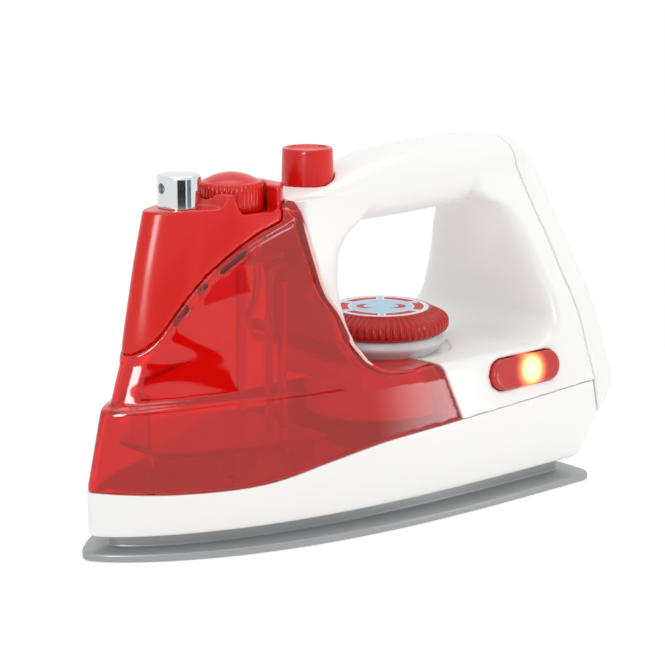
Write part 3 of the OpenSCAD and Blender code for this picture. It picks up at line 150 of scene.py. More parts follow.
def ledge_at(x):
    return blend(LEDGE_FRONT_Z, LEDGE_Z, smooth(LEDGE_ROWS, (x - NOSE_X) / SOLE_LEN))


def heel_face_x(z):
    return HEEL_X - (z - HEEL_Z) * math.tan(HEEL_LEAN)


def rear_x(z):
    if z > HEEL_Z:
        return heel_face_x(z)
    return blend(BASE_REAR_X, HEEL_X, float(smooth(FLARE_ROWS, (z - BASE_Z) / (HEEL_Z - BASE_Z))))


def rear_seam_x(z):
    return heel_face_x(z) - REAR_COVER_T


def half_plan(nose, run, rear, half_w, corner, form=NOSE_FORM):
    """Half of an outline seen from above, from the nose's tip to the rear."""
    x_end = rear - corner
    x = blend(nose, x_end, np.linspace(0, 1, SIDE_STEPS + 1) ** 2)
    left = 1 - np.clip((x - nose) / run, 0, 1)
    y = half_w * (1 - left ** form[1]) ** form[0]
    if form[0] > 0.5:
        # A small radius takes the keel off the nose
        p = 1 / form[0]
        x = x + run / form[1] / half_w ** p * ((y * y + NOSE_R ** 2) ** (p / 2) - y ** p - NOSE_R ** p / 2) * left ** 2
    a = np.linspace(0, math.pi / 2, CORNER_STEPS + 1)[1:]
    return np.column_stack([np.append(x, x_end + corner * np.sin(a)),
                            np.append(y, y[-1] - corner * (1 - np.cos(a)))])


def mirrored(near):
    """Closed ring from the points of one side, the first of them on the middle plane."""
    return np.vstack([near, near[:0:-1] * (1, -1, 1)])


def ring(half, height):
    """Closed ring of points from a half outline; the height is a number or a function of x."""
    z = height(half[:, 0]) if callable(height) else np.full(len(half), float(height))
    return mirrored(np.column_stack([half, z]))


def shoulder_rings(inset, r, steps):
    """Rings that round the upper body's shoulder."""
    rings = []
    for a in np.linspace(0, math.pi / 2, steps):
        inward, drop = r * (1 - math.cos(a)), r * (1 - math.sin(a))
        rings.append(low_ring(lambda x, d=drop: ledge_at(x) - d - inset, inset + inward,
                              heel_face_x(LEDGE_Z - drop) - inset, 1))
    return rings


def low_ring(height, inset, rear, lean=0.0):
    return ring(half_plan(BASE_NOSE_X + inset + lean * NOSE_LEAN, BASE_RUN, rear,
                          BASE_HALF_W - inset - lean * SIDE_LEAN, HEEL_CORNER), height)


def in_scene(name, data):
    made = bpy.data.objects.new(name, data)
    bpy.context.scene.collection.objects.link(made)
    return made


def tube_faces(rows, n, first=0):
    """Faces between closed rows of n points each."""
    return [(first + j * n + i, first + j * n + (i + 1) % n, first + (j + 1) * n + (i + 1) % n, first + (j + 1) * n + i)
            for j in range(rows - 1) for i in range(n)]


def mesh_object(name, points, faces):
    """Mesh piece from points in mm, its faces turned outwards."""
    mesh = bpy.data.meshes.new(name)
    mesh.from_pydata([tuple(p) for p in np.asarray(points) * MM], [], faces)
    bm = bmesh.new()
    bm.from_mesh(mesh)
    bmesh.ops.recalc_face_normals(bm, faces=bm.faces)
    bm.to_mesh(mesh)
    bm.free()
    return in_scene(name, mesh)


def skin(name, rings):
    """Solid between rings that are mirrored about the middle plane."""
    n, last = len(rings[0]), (len(rings) - 1) * len(rings[0])
    faces = tube_faces(len(rings), n)
    for start in (0, last):
        faces.append((start, start + 1, start + n - 1))
        faces += [(start + k, start + k + 1, start + n - k - 1, start + n - k) for k in range(1, (n - 1) // 2)]
    return mesh_object(name, np.vstack(rings), faces)


def side_prism(name, points, low_y=-CUT_W / 2, high_y=CUT_W / 2):
    """Prism across the iron from an outline drawn in the side view."""
    n = len(points)
    both = [(x, y, z) for y in (low_y, high_y) for x, z in points]
    return mesh_object(name, both, tube_faces(2, n) + [tuple(range(n)), tuple(range(n, 2 * n))])


def side_box(name, x, z, *across):
    """Box across the iron from its limits along x and z."""
    return side_prism(name, [(x[0], z[0]), (x[1], z[0]), (x[1], z[1]), (x[0], z[1])], *across)


def turned(name, profile, place, steps=96, ribs=0):
    """Solid turned about an upright axis; the profile runs from axis to axis in (radius, height, depth of ribs)."""
    inner = [p for p in profile if p[0] > 0]
    a = np.arange(steps) * 2 * math.pi / steps
    groove = (0.5 - 0.5 * np.cos(ribs * a)) ** 2
    points = []
    for row in inner:
        r = row[0] - (row[2] if len(row) > 2 else 0) * groove
        points += list(zip(place[0] + r * np.cos(a), place[1] + r * np.sin(a), np.full(steps, place[2] + row[1])))
    faces = tube_faces(len(inner), steps)
    for end, first in ((profile[0], 0), (profile[-1], (len(inner) - 1) * steps)):
        points.append((place[0], place[1], place[2] + end[1]))
        faces += [(first + i, first + (i + 1) % steps, len(points) - 1) for i in range(steps)]
    return mesh_object(name, points, faces)


def rod(name, x, z, r, h):
    return turned(name, [(0, 0), (r, 0), (r, h), (0, h)], (x, 0, z))


def bore(start, along, r, length):
    """Round hole's core from a point in any direction."""
    core = turned("bore", [(0, 0), (r, 0), (r, length), (0, length)], (0, 0, 0), 32)
    turn = Vector(along).to_track_quat("Z", "Y").to_matrix().to_4x4()
    core.data.transform(Matrix.Translation(Vector(start) * MM) @ turn)
    return core


def settle(piece):
    """Apply a piece's modifiers to its mesh."""
    view = bpy.context.evaluated_depsgraph_get()
    done = bpy.data.meshes.new_from_object(piece.evaluated_get(view))
    piece.modifiers.clear()
    piece.data = done
    return piece


def combine(piece, others, way):
    """Join, cut or keep the common part of solids; the other solids are used up."""
    for other in others:
        change = piece.modifiers.new(way, "BOOLEAN")
        change.operation, change.object, change.solver = way, other, "MANIFOLD"
    settle(piece)
    for other in others:
        bpy.data.objects.remove(other)
    return piece


def soften(piece, keep=0.35):
    """Round a moulded piece's edges: even small faces, relaxed a few times, then thinned out."""
    even = piece.modifiers.new("even", "REMESH")
    even.mode, even.voxel_size, even.use_smooth_shade = "VOXEL", EDGE_VOXEL * MM, True
    relax = piece.modifiers.new("relax", "SMOOTH")
    relax.factor, relax.iterations = 0.5, EDGE_ROUNDS
    thin = piece.modifiers.new("thin", "DECIMATE")
    thin.ratio = keep
    settle(piece)
    piece.data.polygons.foreach_set("use_smooth", [True] * len(piece.data.polygons))
    return piece


def round_rear(piece):
    """Let the ledge run out towards the rear, where tower and lobe are one rounded flank."""
    even = piece.modifiers.new("even", "REMESH")
    even.mode, even.voxel_size = "VOXEL", FLANK_VOXEL * MM
    settle(piece)
    group = piece.vertex_groups.new(name="rear")
    for v in piece.data.vertices:
        x, z = v.co.x / MM, v.co.z / MM
        along = min(max((x - FLANK_X[0]) / (FLANK_X[1] - FLANK_X[0]), 0), 1)
        above = min(max((z - FLANK_Z[0]) / (FLANK_Z[1] - FLANK_Z[0]), 0), 1)
        below = min(max((FLANK_Z[3] - z) / (FLANK_Z[3] - FLANK_Z[2]), 0), 1)
        weight = along * along * (3 - 2 * along) * (above * below)
        if weight > 0:
            group.add([v.index], weight, "REPLACE")
    relax = piece.modifiers.new("relax", "SMOOTH")
    relax.factor, relax.iterations, relax.vertex_group = 0.5, FLANK_ROUNDS, group.name
    return settle(piece)


# Large forms that several pieces share
def body_form(inset=0.0, gap=FIT_GAP, r=SHOULDER_R):
    rings = [low_ring(lambda x: seam_at(x) + gap, inset, heel_face_x(SEAM_HEEL_Z) - inset)]
    return skin("body_form", rings + shoulder_rings(inset, r, 9))


def tower(inset=0.0, rear=PILLAR_REAR_X):
    rings = []
    for s in np.linspace(0, 1, LOFT_STEPS + 1):
        slim, lean = float(smooth(TOWER_SLIM_ROWS, s)), float(smooth(TOWER_LEAN_ROWS, s))
        form = [blend(a, b, slim) for a, b in zip(NOSE_FORM, TOWER_TOP_FORM)]
        rings.append(ring(half_plan(
            blend(TOWER_FOOT_X, TOWER_TOP_X, lean) + inset, blend(BASE_RUN, TOWER_TOP_RUN, slim),
            rear - inset, blend(TOWER_FOOT_W, TOWER_TOP_W, slim) / 2 - inset, TOWER_CORNER, form),
            blend(TOWER_FOOT_Z, TOWER_TOP_Z, s)))
    return skin("tower", rings)


def front_pillar(gap=0.0):
    rings = []
    for s in np.linspace(0, 1, LOFT_STEPS + 1):
        rings.append(ring(half_plan(
            TANK_EDGE_TOP - gap, TOWER_CORNER, PILLAR_REAR_X + PILLAR_FLARE * float(smooth(PILLAR_REAR_ROWS, s)) + gap,
            blend(PILLAR_FOOT_HALF_W, TOWER_TOP_W / 2, float(smooth(PILLAR_ROWS, s))) + gap, TOWER_CORNER, ROUND_FORM),
            blend(PILLAR_FOOT_Z, BAR_FRONT_Z - BASE_EDGE, s)))
    return skin("front_pillar", rings)


def rear_pillar(inset=0.0):
    top_z = BAR_TOP_Z - BAR_H / 4
    rings = []
    for s in np.linspace(0, 1, LOFT_STEPS + 1):
        z = blend(REAR_FOOT_Z, top_z, s)
        front = blend(REAR_FRONT_HIGH_X, REAR_FRONT_LOW_X, float(smooth(REAR_FRONT_ROWS, s)))
        half = blend(BASE_HALF_W - SIDE_LEAN - FIT_GAP, BAR_W / 2, float(smooth(REAR_HALF_ROWS, s)))
        rings.append(ring(half_plan(front + inset, REAR_ROUND_RUN, heel_face_x(z) - inset, half - inset, HEEL_CORNER,
                                    FLAT_FORM), z))
    return skin("rear_pillar", rings)


def handle_bar(inset=0.0):
    rings = []
    # From the lowest point to half a step short of the crest, where the mirrored side takes over
    a = -math.pi / 2 + math.pi * np.arange(BAR_ROUND_STEPS + 1) / (BAR_ROUND_STEPS + 0.5)
    for s in np.linspace(1, 0, BAR_STEPS + 1):
        x = blend(TANK_EDGE_TOP, heel_face_x(BAR_TOP_Z - BAR_H / 4) + BAR_BULGE - inset, s)
        top = blend(BAR_FRONT_Z, BAR_TOP_Z, float(smooth(BAR_TOP_ROWS, s))) - inset
        low = BAR_TOP_Z - BAR_H + BAR_H * float(smooth(BAR_LOW_ROWS, s)) + inset
        half = BAR_W / 2 * float(smooth(BAR_HALF_ROWS, s)) - inset
        y = half * np.abs(np.cos(a)) ** 0.8
        y[0] = 0
        z = (top + low) / 2 + (top - low) / 2 * np.sign(np.sin(a)) * np.abs(np.sin(a)) ** 0.8
        rings.append(mirrored(np.column_stack([np.full(len(a), x), y, z])))
    return skin("handle_bar", rings)


def tank_edge(shift):
    s = np.linspace(0, 1, 61) ** 1.5
    x = blend(TANK_EDGE_FOOT, TANK_EDGE_TOP, smooth(TANK_EDGE_ROWS, s)) + shift
    return list(zip(x, blend(TANK_FOOT_Z, TANK_TOP_Z + min(shift, 0), s)))


def tank_sweep(shift):
    """The rear edge with its hollow sweep into the lobe's top."""
    return [(x + shift, z + shift) for x, z in SWEEP_FOOT] + [p for p in tank_edge(shift) if p[1] > SWEEP_END_Z]


def lobe_edge(shift, top):
    z, r = LEDGE_Z - SHOULDER_R, SHOULDER_R / 2
    x = LOBE_X - (z - HEEL_Z) * math.tan(LOBE_SLANT) + shift
    turn = [(x - r * (1 - math.cos(a)), z + SHOULDER_R * math.sin(a)) for a in np.linspace(0, math.pi / 2, 9)]
    return [(LOBE_X + HEEL_Z * math.tan(LOBE_SLANT) + shift, 0)] + turn + [(x - r, top)]


def tank_region(shift):
    return side_prism("tank_region", [(-CUT_H, 0)] + lobe_edge(shift, LEDGE_Z + shift) + tank_sweep(shift)
                      + [(-CUT_H, TANK_TOP_Z + min(shift, 0))])


def before_lobe(shift):
    return side_prism("before_lobe", [(-CUT_H, 0)] + lobe_edge(shift, TANK_FOOT_Z) + [(-CUT_H, TANK_FOOT_Z)])


def behind_tank(shift):
    return side_prism("behind_tank", [(CUT_H, 0), (TANK_EDGE_FOOT + shift, 0)] + tank_edge(shift)
                      + [(TANK_EDGE_TOP + shift, CUT_H), (CUT_H, CUT_H)])


def behind_rear_seam(shift):
    return side_prism("behind_rear_seam", [(rear_seam_x(0) + shift, 0), (rear_seam_x(CUT_H) + shift, CUT_H),
                                           (CUT_H, CUT_H), (CUT_H, 0)])


def cover_edge(s, drop):
    """Points of the cover's lower edge in the side view, or of a line below it."""
    s = np.asarray(s, float)
    return list(zip(blend(TOWER_FOOT_X, COVER_REAR_X, s),
                    blend(COVER_LOW_Z, COVER_CURVE_END_Z, smooth(COVER_CURVE_ROWS, s)) - drop))


def cover_region(shift):
    over = side_prism("cover_region", [(-CUT_H, COVER_LOW_Z + shift)] + cover_edge(np.linspace(0, 1, 41), -shift)
                      + [(COVER_REAR_X - shift, CUT_H), (-CUT_H, CUT_H)])
    front = side_box("cover_front", (-CUT_H, CAP_X), (0, CUT_H))
    combine(front, [rod("cover_end", CAP_X, 0, COVER_END_R - shift, CUT_H)], "UNION")
    return combine(over, [front], "INTERSECT")


def cover_band(first, last, high, low):
    """Strip across the iron that follows the cover's lower edge."""
    s = np.linspace(first, last, 25)
    return side_prism("cover_band", cover_edge(s, high) + cover_edge(s, low)[::-1])


def wall_half(side):
    return side_box("half", (-CUT_H, CUT_H), (-OVERRUN, CUT_H), 0 if side > 0 else -CUT_W, CUT_W if side > 0 else 0)


PILL_FRAME = (Matrix.Translation(Vector((PILL_X, PILL_Y, PILL_Z)))
              @ Matrix.Rotation(math.pi / 2 - PILL_TILT, 4, "X"))


def pill_body(name, levels):
    """Rounded bar square to the left wall, from (height, growth) levels."""
    n, rings = PILL_STEPS, []
    for height, grow in levels:
        for i in range(n):
            a = 2 * math.pi * i / n
            x = math.copysign((PILL_LEN - PILL_W) / 2, math.cos(a)) + (PILL_W / 2 + grow) * math.cos(a)
            rings.append(PILL_FRAME @ Vector((x, (PILL_W / 2 + grow) * math.sin(a), height)))
    ends = [tuple(range(n)), tuple(range((len(levels) - 1) * n, len(levels) * n))]
    return mesh_object(name, [tuple(p) for p in rings], tube_faces(len(levels), n) + ends)


def finger_room(low_z, gap):
    """Room for a finger between the dial and the front pillar's foot."""
    return side_box("finger_room", (PILLAR_REAR_X + gap, CUT_H), (low_z, low_z + FINGER_H))


def white_body():
    """White upper body as one form, before it is split into halves."""
    rear = combine(body_form(), [before_lobe(SEAM_GAP)], "DIFFERENCE")
    core = combine(body_form(), [rod("core", DIAL_X, BASE_Z, CORE_R, SHELF_Z - FIT_GAP - BASE_Z)], "INTERSECT")
    pillar = combine(front_pillar(), [behind_tank(SEAM_GAP)], "INTERSECT")
    combine(pillar, [finger_room(SHELF_Z - FIT_GAP, 0)], "DIFFERENCE")
    bar = combine(handle_bar(), [behind_tank(SEAM_GAP)], "INTERSECT")
    body = combine(rear, [core, pillar, rear_pillar(), bar], "UNION")
    room = combine(body_form(BODY_WALL, -OVERRUN), [
        side_box("under_deck", (-CUT_H, CUT_H), (0, DECK_Z - BODY_WALL))], "INTERSECT")
    combine(room, [before_lobe(SEAM_GAP + BODY_WALL), behind_rear_seam(-SEAM_GAP - BODY_WALL)], "DIFFERENCE")
    pill_hole = pill_body("pill_hole", [(-PILL_DEPTH * 2, SEAM_GAP), (PILL_DEPTH, SEAM_GAP)])
    return combine(body, [behind_rear_seam(-SEAM_GAP), room, rod("well", DIAL_X, DECK_Z, WELL_R, WELL_H),
                          rod("core_room", DIAL_X, 0, WELL_R, DECK_Z - BODY_WALL),
                          rod("button_well", BUTTON_X, BUTTON_WELL_Z, BUTTON_WELL_R, BUTTON_WELL_H), pill_hole],
                   "DIFFERENCE")


def rear_master(inset):
    """Whole outer form of base, body and handle, from which the rear cover is cut."""
    rings = [low_ring(BASE_Z, BASE_EDGE + inset, BASE_REAR_X - BASE_EDGE - inset),
             low_ring(BASE_Z + BASE_EDGE, inset, BASE_REAR_X - inset)]
    for share in np.linspace(0.1, 1, 13):
        rings.append(low_ring(lambda x, s=share: blend(BASE_Z + BASE_EDGE, seam_at(x), s), inset,
                              rear_x(blend(BASE_Z + BASE_EDGE, SEAM_HEEL_Z, share)) - inset))
    rings += shoulder_rings(inset, SHOULDER_R, 7)
    return combine(skin("rear_master", rings), [rear_pillar(inset), handle_bar(inset)], "UNION")


def rear_cover():
    shell = combine(rear_master(0), [behind_rear_seam(0)], "INTERSECT")
    return combine(shell, [rear_master(BODY_WALL)], "DIFFERENCE")


def water_tank():
    outside = round_rear(combine(body_form(r=TANK_SHOULDER_R), [tower(rear=TOWER_REAR_X)], "UNION"))
    combine(outside, [tank_region(0)], "INTERSECT")
    # Raised welt under the cover, and a bead that stiffens the rear edge
    welt = combine(tower(-WELT_H), [cover_band(WELT_FIRST, WELT_LAST, SEAM_GAP, SEAM_GAP + WELT_W)], "INTERSECT")
    bead = combine(combine(tower(-BEAD_H), [tank_region(0)], "INTERSECT"), [tank_region(-BEAD_W)], "DIFFERENCE")
    combine(bead, [side_box("low_part", (-CUT_H, CUT_H), (-CUT_H, BEAD_LOW_Z))], "DIFFERENCE")
    combine(outside, [welt, bead], "UNION")
    inside = round_rear(combine(body_form(TANK_WALL, -OVERRUN, TANK_SHOULDER_R), [tower(TANK_WALL, TOWER_REAR_X)],
                                "UNION"))
    combine(inside, [tank_region(-TANK_WALL)], "INTERSECT")
    pillar = combine(front_pillar(SEAM_GAP), [behind_tank(0)], "INTERSECT")
    combine(pillar, [finger_room(SHELF_Z, SEAM_GAP)], "DIFFERENCE")
    slots = [cover_band(a, b, WELT_W + SEAM_GAP, WELT_W + SEAM_GAP + SLOT_W) for a, b in SLOT_ROWS]
    # The lobes' top reaches in over the white core as far as the dial's collar
    return combine(outside, [inside, cover_region(-SEAM_GAP), rod("core", DIAL_X, 0, CORE_R + SEAM_GAP, SHELF_Z),
                             rod("collar_room", DIAL_X, 0, SHELF_R, CUT_H), pillar] + slots, "DIFFERENCE")


def clip_tongues():
    """Cover's snap tongues, just inside the tank's slots."""
    bands = [cover_band(a + TONGUE_PLAY_SHARE, b - TONGUE_PLAY_SHARE, WELT_W + SEAM_GAP + TONGUE_PLAY,
                        WELT_W + SEAM_GAP + SLOT_W - TONGUE_PLAY) for a, b in SLOT_ROWS]
    tongues = combine(tower(TONGUE_IN), [combine(bands[0], bands[1:], "UNION")], "INTERSECT")
    return combine(tongues, [tower(TONGUE_IN + COVER_WALL)], "DIFFERENCE")


def front_cover():
    shell = combine(tower(), [cover_region(0)], "INTERSECT")
    inside = combine(tower(COVER_WALL), [
        side_box("above_deck", (-CUT_H, CUT_H), (NOZZLE_DECK_Z - COVER_WALL, CUT_H)),
        rod("cap_well_wall", CAP_X, WELL_FLOOR_Z - COVER_WALL, CAP_WELL_R + COVER_WALL, CUT_H),
        side_box("rear_wall", (CAP_X, CUT_H), (0, CUT_H))], "DIFFERENCE")
    s = np.linspace(0, 1, 17)
    rim = list(zip(blend(COVER_RIM_FRONT_X, COVER_RIM_REAR_X, s),
                   blend(NOZZLE_DECK_Z, COVER_RIM_Z, (1 - np.cos(math.pi * s)) / 2)))
    top = side_prism("cover_top", [(-CUT_H, NOZZLE_DECK_Z)] + rim + [
        (COVER_REAR_X, TOWER_TOP_Z), (CUT_H, TOWER_TOP_Z), (CUT_H, CUT_H), (-CUT_H, CUT_H)])
    notch = side_prism("notch", [(NOTCH_LOW_X, NOTCH_Z), (NOTCH_HIGH_X, NOTCH_Z), (NOTCH_REAR_X, CUT_H),
                                 (NOTCH_FRONT_X, CUT_H), (NOTCH_FRONT_X, COVER_RIM_Z)])
    return combine(shell, [inside, top, rod("cap_well", CAP_X, WELL_FLOOR_Z, CAP_WELL_R, CUT_H), notch,
                           rod("neck_hole", CAP_X, 0, NECK_R + FIT_GAP, CUT_H),
                           rod("nozzle_hole", NOZZLE_X, 0, NOZZLE_STEM_R, CUT_H)], "DIFFERENCE")


def tub_box(grow):
    """Room of the two cells, standing up through the base's floor."""
    return side_box("tub", (TUB_X - TUB_LEN / 2 - grow, TUB_X + TUB_LEN / 2 + grow),
                    (SOLE_T + SEAM_GAP, TUB_TOP_Z + grow), -TUB_W / 2 - grow, TUB_W / 2 + grow)


def base_shell():
    rings = []
    for a in np.linspace(0, math.pi / 2, 6):
        grow = BASE_EDGE * math.sin(a)
        rings.append(low_ring(BASE_Z + BASE_EDGE * (1 - math.cos(a)), BASE_EDGE - grow, BASE_REAR_X - BASE_EDGE + grow))
    shares = np.linspace(0.08, 1, 20)

    def wall(share, inset, sink=0.0):
        z = blend(BASE_Z + BASE_EDGE, SEAM_HEEL_Z, share)
        return low_ring(lambda x: blend(BASE_Z + BASE_EDGE, seam_at(x), share) - sink, inset,
                        min(rear_x(z), rear_seam_x(z) - SEAM_GAP) - inset)
    rings += [wall(s, 0) for s in shares[:-1]]
    rings += [wall(1, SEAM_EDGE * (1 - math.cos(a)), SEAM_EDGE * (1 - math.sin(a)))
              for a in np.linspace(0, math.pi / 2, 5)]
    rings += [wall(s, BASE_WALL) for s in shares[::-1]]
    rings.append(low_ring(BASE_FLOOR_Z, BASE_WALL, BASE_REAR_X - BASE_WALL))
    shell = combine(skin("base_shell", rings), [tub_box(TUB_WALL - FIT_GAP)], "DIFFERENCE")
    return combine(shell, [combine(tub_box(TUB_WALL), [tub_box(0)], "DIFFERENCE")], "UNION")


def sole_ring(inset, rear_inset, z):
    return ring(half_plan(NOSE_X + inset, SOLE_LEN, SOLE_REAR_X - rear_inset, SOLE_W / 2 - inset, SOLE_CORNER), z)


def soleplate():
    """Plate with a rounded rim, and the raised step that carries the base; tables of (inset, height)."""
    edge = [(1.1, 0), (0.55, 0.12), (0.2, 0.4), (0.04, 0.8), (0, 1.2), (0, 2.2), (0.08, 2.6), (0.3, 2.88), (0.7, 3)]
    rings = [sole_ring(i, i, z) for i, z in edge]
    foot = [(10.4, 3), (10.9, 3.12), (11.2, 3.45), (11.3, 4), (11.3, 8.3), (11.45, 8.6), (14.1, 8.6), (14.3, 8.4),
            (14.3, 3.2)]
    rings += [sole_ring(i, i + RISER_REAR_INSET - RISER_INSET, z) for i, z in foot]
    plate = skin("soleplate", rings)
    hollow = side_box("door_hollow", (DOOR_FRONT_X, DOOR_REAR_X), (-OVERRUN, DOOR_DEPTH), -DOOR_HALF_W, DOOR_HALF_W)
    holes = [bore((x, y, -OVERRUN), (0, 0, 1), SCREW_HOLE_R, OVERRUN + SOLE_SCREW_DEPTH) for x, y in SOLE_SCREWS]
    return combine(plate, [hollow] + holes, "DIFFERENCE")


# Materials
def linear(code):
    """Linear colour of an sRGB hex code."""
    parts = [int(code[i:i + 2], 16) / 255 for i in (1, 3, 5)]
    return tuple(c / 12.92 if c <= 0.04045 else ((c + 0.055) / 1.055) ** 2.4 for c in parts) + (1.0,)


def add(tree, kind, inputs=None, **settings):
    """Add one node; inputs are values, or output sockets to link from."""
    made = tree.nodes.new(kind)
    for key, value in settings.items():
        setattr(made, key, value)
    for key, value in (inputs or {}).items():
        if isinstance(value, bpy.types.NodeSocket):
            tree.links.new(value, made.inputs[key])
        else:
            made.inputs[key].default_value = value
    return made


# Size in mm of the patches where a moulding's gloss differs, and height of the finest waves, both coarse enough to show
PATCH_MM, WAVE_MM = 14, 0.2


def finish(name, colour, roughness, ior=1.5, metallic=0.0, grain_mm=1.2, grain=0.02, patchy=0.06, **more):
    """Moulded or plated surface: even colour, fine waviness of the mould and slightly uneven gloss."""
    mat = bpy.data.materials.new(name)
    mat.use_nodes = True
    tree = mat.node_tree
    shader = tree.nodes["Principled BSDF"]
    place = add(tree, "ShaderNodeTexCoord")
    waves = add(tree, "ShaderNodeTexNoise", {"Vector": place.outputs["Object"], "Scale": 1 / (grain_mm * MM),
                                             "Detail": 2.0})
    bump = add(tree, "ShaderNodeBump", {"Height": waves.outputs["Fac"], "Strength": grain,
                                        "Distance": WAVE_MM * MM})
    patches = add(tree, "ShaderNodeTexNoise", {"Vector": place.outputs["Object"], "Scale": 1 / (PATCH_MM * MM),
                                               "Detail": 3.0})
    gloss = add(tree, "ShaderNodeMapRange", {"Value": patches.outputs["Fac"], "From Min": 0.3, "From Max": 0.7,
                                             "To Min": roughness * (1 - patchy), "To Max": roughness * (1 + patchy)})
    tree.links.new(bump.outputs["Normal"], shader.inputs["Normal"])
    tree.links.new(gloss.outputs["Result"], shader.inputs["Roughness"])
    shader.inputs["Base Color"].default_value = linear(colour)
    shader.inputs["IOR"].default_value = ior
    shader.inputs["Metallic"].default_value = metallic
    for key, value in more.items():
        shader.inputs[key.replace("_", " ")].default_value = value
    return mat


# White ABS, injection moulded in a polished tool: bright, with soft clean highlights
white_abs = finish("white_abs", "#f4f4f2", 0.24, 1.54)
# Red ABS, the same polish: strong colour with a pale glare on the edges
red_abs = finish("red_abs", "#d6160e", 0.2, 1.54, Specular_IOR_Level=0.35)
# The dial's red has a finer satin texture; its colour is painted darker as shade on the knob's flank
satin_red_abs_painted_shade = finish("satin_red_abs_painted_shade", "#b3140d", 0.34, 1.54, Specular_IOR_Level=0.35)
# The hidden snap tongues are the same red ABS, coloured near black as painted shade in the dark of their slots
painted_shade_red_abs = finish("painted_shade_red_abs", "#4a1310", 0.4, 1.54)
# Clear red SAN of the tank: colour deepens with every wall that one looks through
clear_red_san = finish("clear_red_san", "#f8170f", 0.05, 1.57, grain=0.006, Transmission_Weight=0.82,
                       Specular_IOR_Level=0.3)
# Pale tint of the same SAN, a painted highlight laid as a thin line along the tank's rear lip
painted_highlight_red_san = finish("painted_highlight_red_san", "#f7c3b8", 0.12, 1.57)
# Chrome plating on ABS: mirror-like, with a cool grey
chrome_plating = finish("chrome_plating", "#dcdee0", 0.07, 1.5, 1.0, grain=0.004)
# Grey ABS soleplate with a metallic pigment: satin sheen instead of a mirror
sole_grey_abs = finish("sole_grey_abs", "#9fa1a2", 0.3, 1.54, 0.2)
# Pale grey ABS of the collar under the dial, moulded smooth: a soft broad highlight on its rounded rim
pale_grey_abs = finish("pale_grey_abs", "#d4d6d7", 0.28, 1.54)
# Nitrile rubber of the seals, moulded: nearly black and dull, with a fine skin
seal_nbr = finish("seal_nbr", "#242426", 0.6, 1.52, grain=0.1)
# Zinc-plated steel of the screws, clip, contacts and spring: bright grey with blurred reflections
zinc_steel = finish("zinc_steel", "#c3c6ca", 0.3, 1.5, 1.0)
# Polypropylene of the tubes and the pump, left uncoloured: milky and waxy, with weak highlights
milky_pp = finish("milky_pp", "#e6e4dd", 0.4, 1.49)
# Acetal of the rods, turned grey with pigment: smooth, between satin and gloss
grey_pom = finish("grey_pom", "#8c8f94", 0.38, 1.48)
# Coated paper disc of the dial, printed pale blue: flat colour under a thin dull varnish
coated_paper = finish("coated_paper", "#b9def3", 0.5, 1.5, grain_mm=0.6, grain=0.03)
# White and red ink on the same disc: as dull as the paper that shows between them
white_print = finish("white_print", "#f6f7f8", 0.5, 1.5, grain_mm=0.6, grain=0.03)
red_print = finish("red_print", "#c8170f", 0.5, 1.5, grain_mm=0.6, grain=0.03)
# Solder lacquer on the circuit board's glass laminate: clear green, glossy where light meets it
board_lacquer = finish("board_lacquer", "#2f7d46", 0.3, 1.52)
# Nylon of the switch, moulded in black: dull with a slight sheen
black_nylon = finish("black_nylon", "#1d1d1f", 0.45, 1.53)
# Shrunk PVC sleeve of the cells: even blue with a smooth gloss
cell_sleeve = finish("cell_sleeve", "#3f6fb0", 0.3, 1.5)
# Cast epoxy lens of the lamp: warm and bright from the chip inside
lamp_epoxy = finish("lamp_epoxy", "#ffd9c8", 0.15, 1.55, Emission_Color=linear("#ffb48a"), Emission_Strength=2.0)
# Translucent red polycarbonate button, lit from behind: glows warm over the lamp and stays red at its ends
LAMP_AT, GLOW_NEAR, GLOW_REACH, GLOW_FALL, GLOW_STRENGTH = (2, 0, 2), 0.5, 13, 3.0, 11.0
lit_red_pc = finish("lit_red_pc", "#c01f17", 0.2, 1.58, Emission_Color=linear("#ff7a4a"))
tree = lit_red_pc.node_tree
place = add(tree, "ShaderNodeTexCoord")
away = add(tree, "ShaderNodeVectorMath", {0: place.outputs["Object"], 1: tuple(PILL_FRAME @ Vector(LAMP_AT) * MM)},
           operation="DISTANCE")
glow = add(tree, "ShaderNodeMapRange", {"Value": away.outputs["Value"], "From Min": GLOW_NEAR * MM,
                                        "From Max": GLOW_REACH * MM, "To Min": 1, "To Max": 0},
           interpolation_type="SMOOTHERSTEP")
beam = add(tree, "ShaderNodeMath", {0: glow.outputs["Result"], 1: GLOW_FALL}, operation="POWER")
lit = add(tree, "ShaderNodeMath", {0: beam.outputs[0], 1: GLOW_STRENGTH}, operation="MULTIPLY")
tree.links.new(lit.outputs[0], tree.nodes["Principled BSDF"].inputs["Emission Strength"])

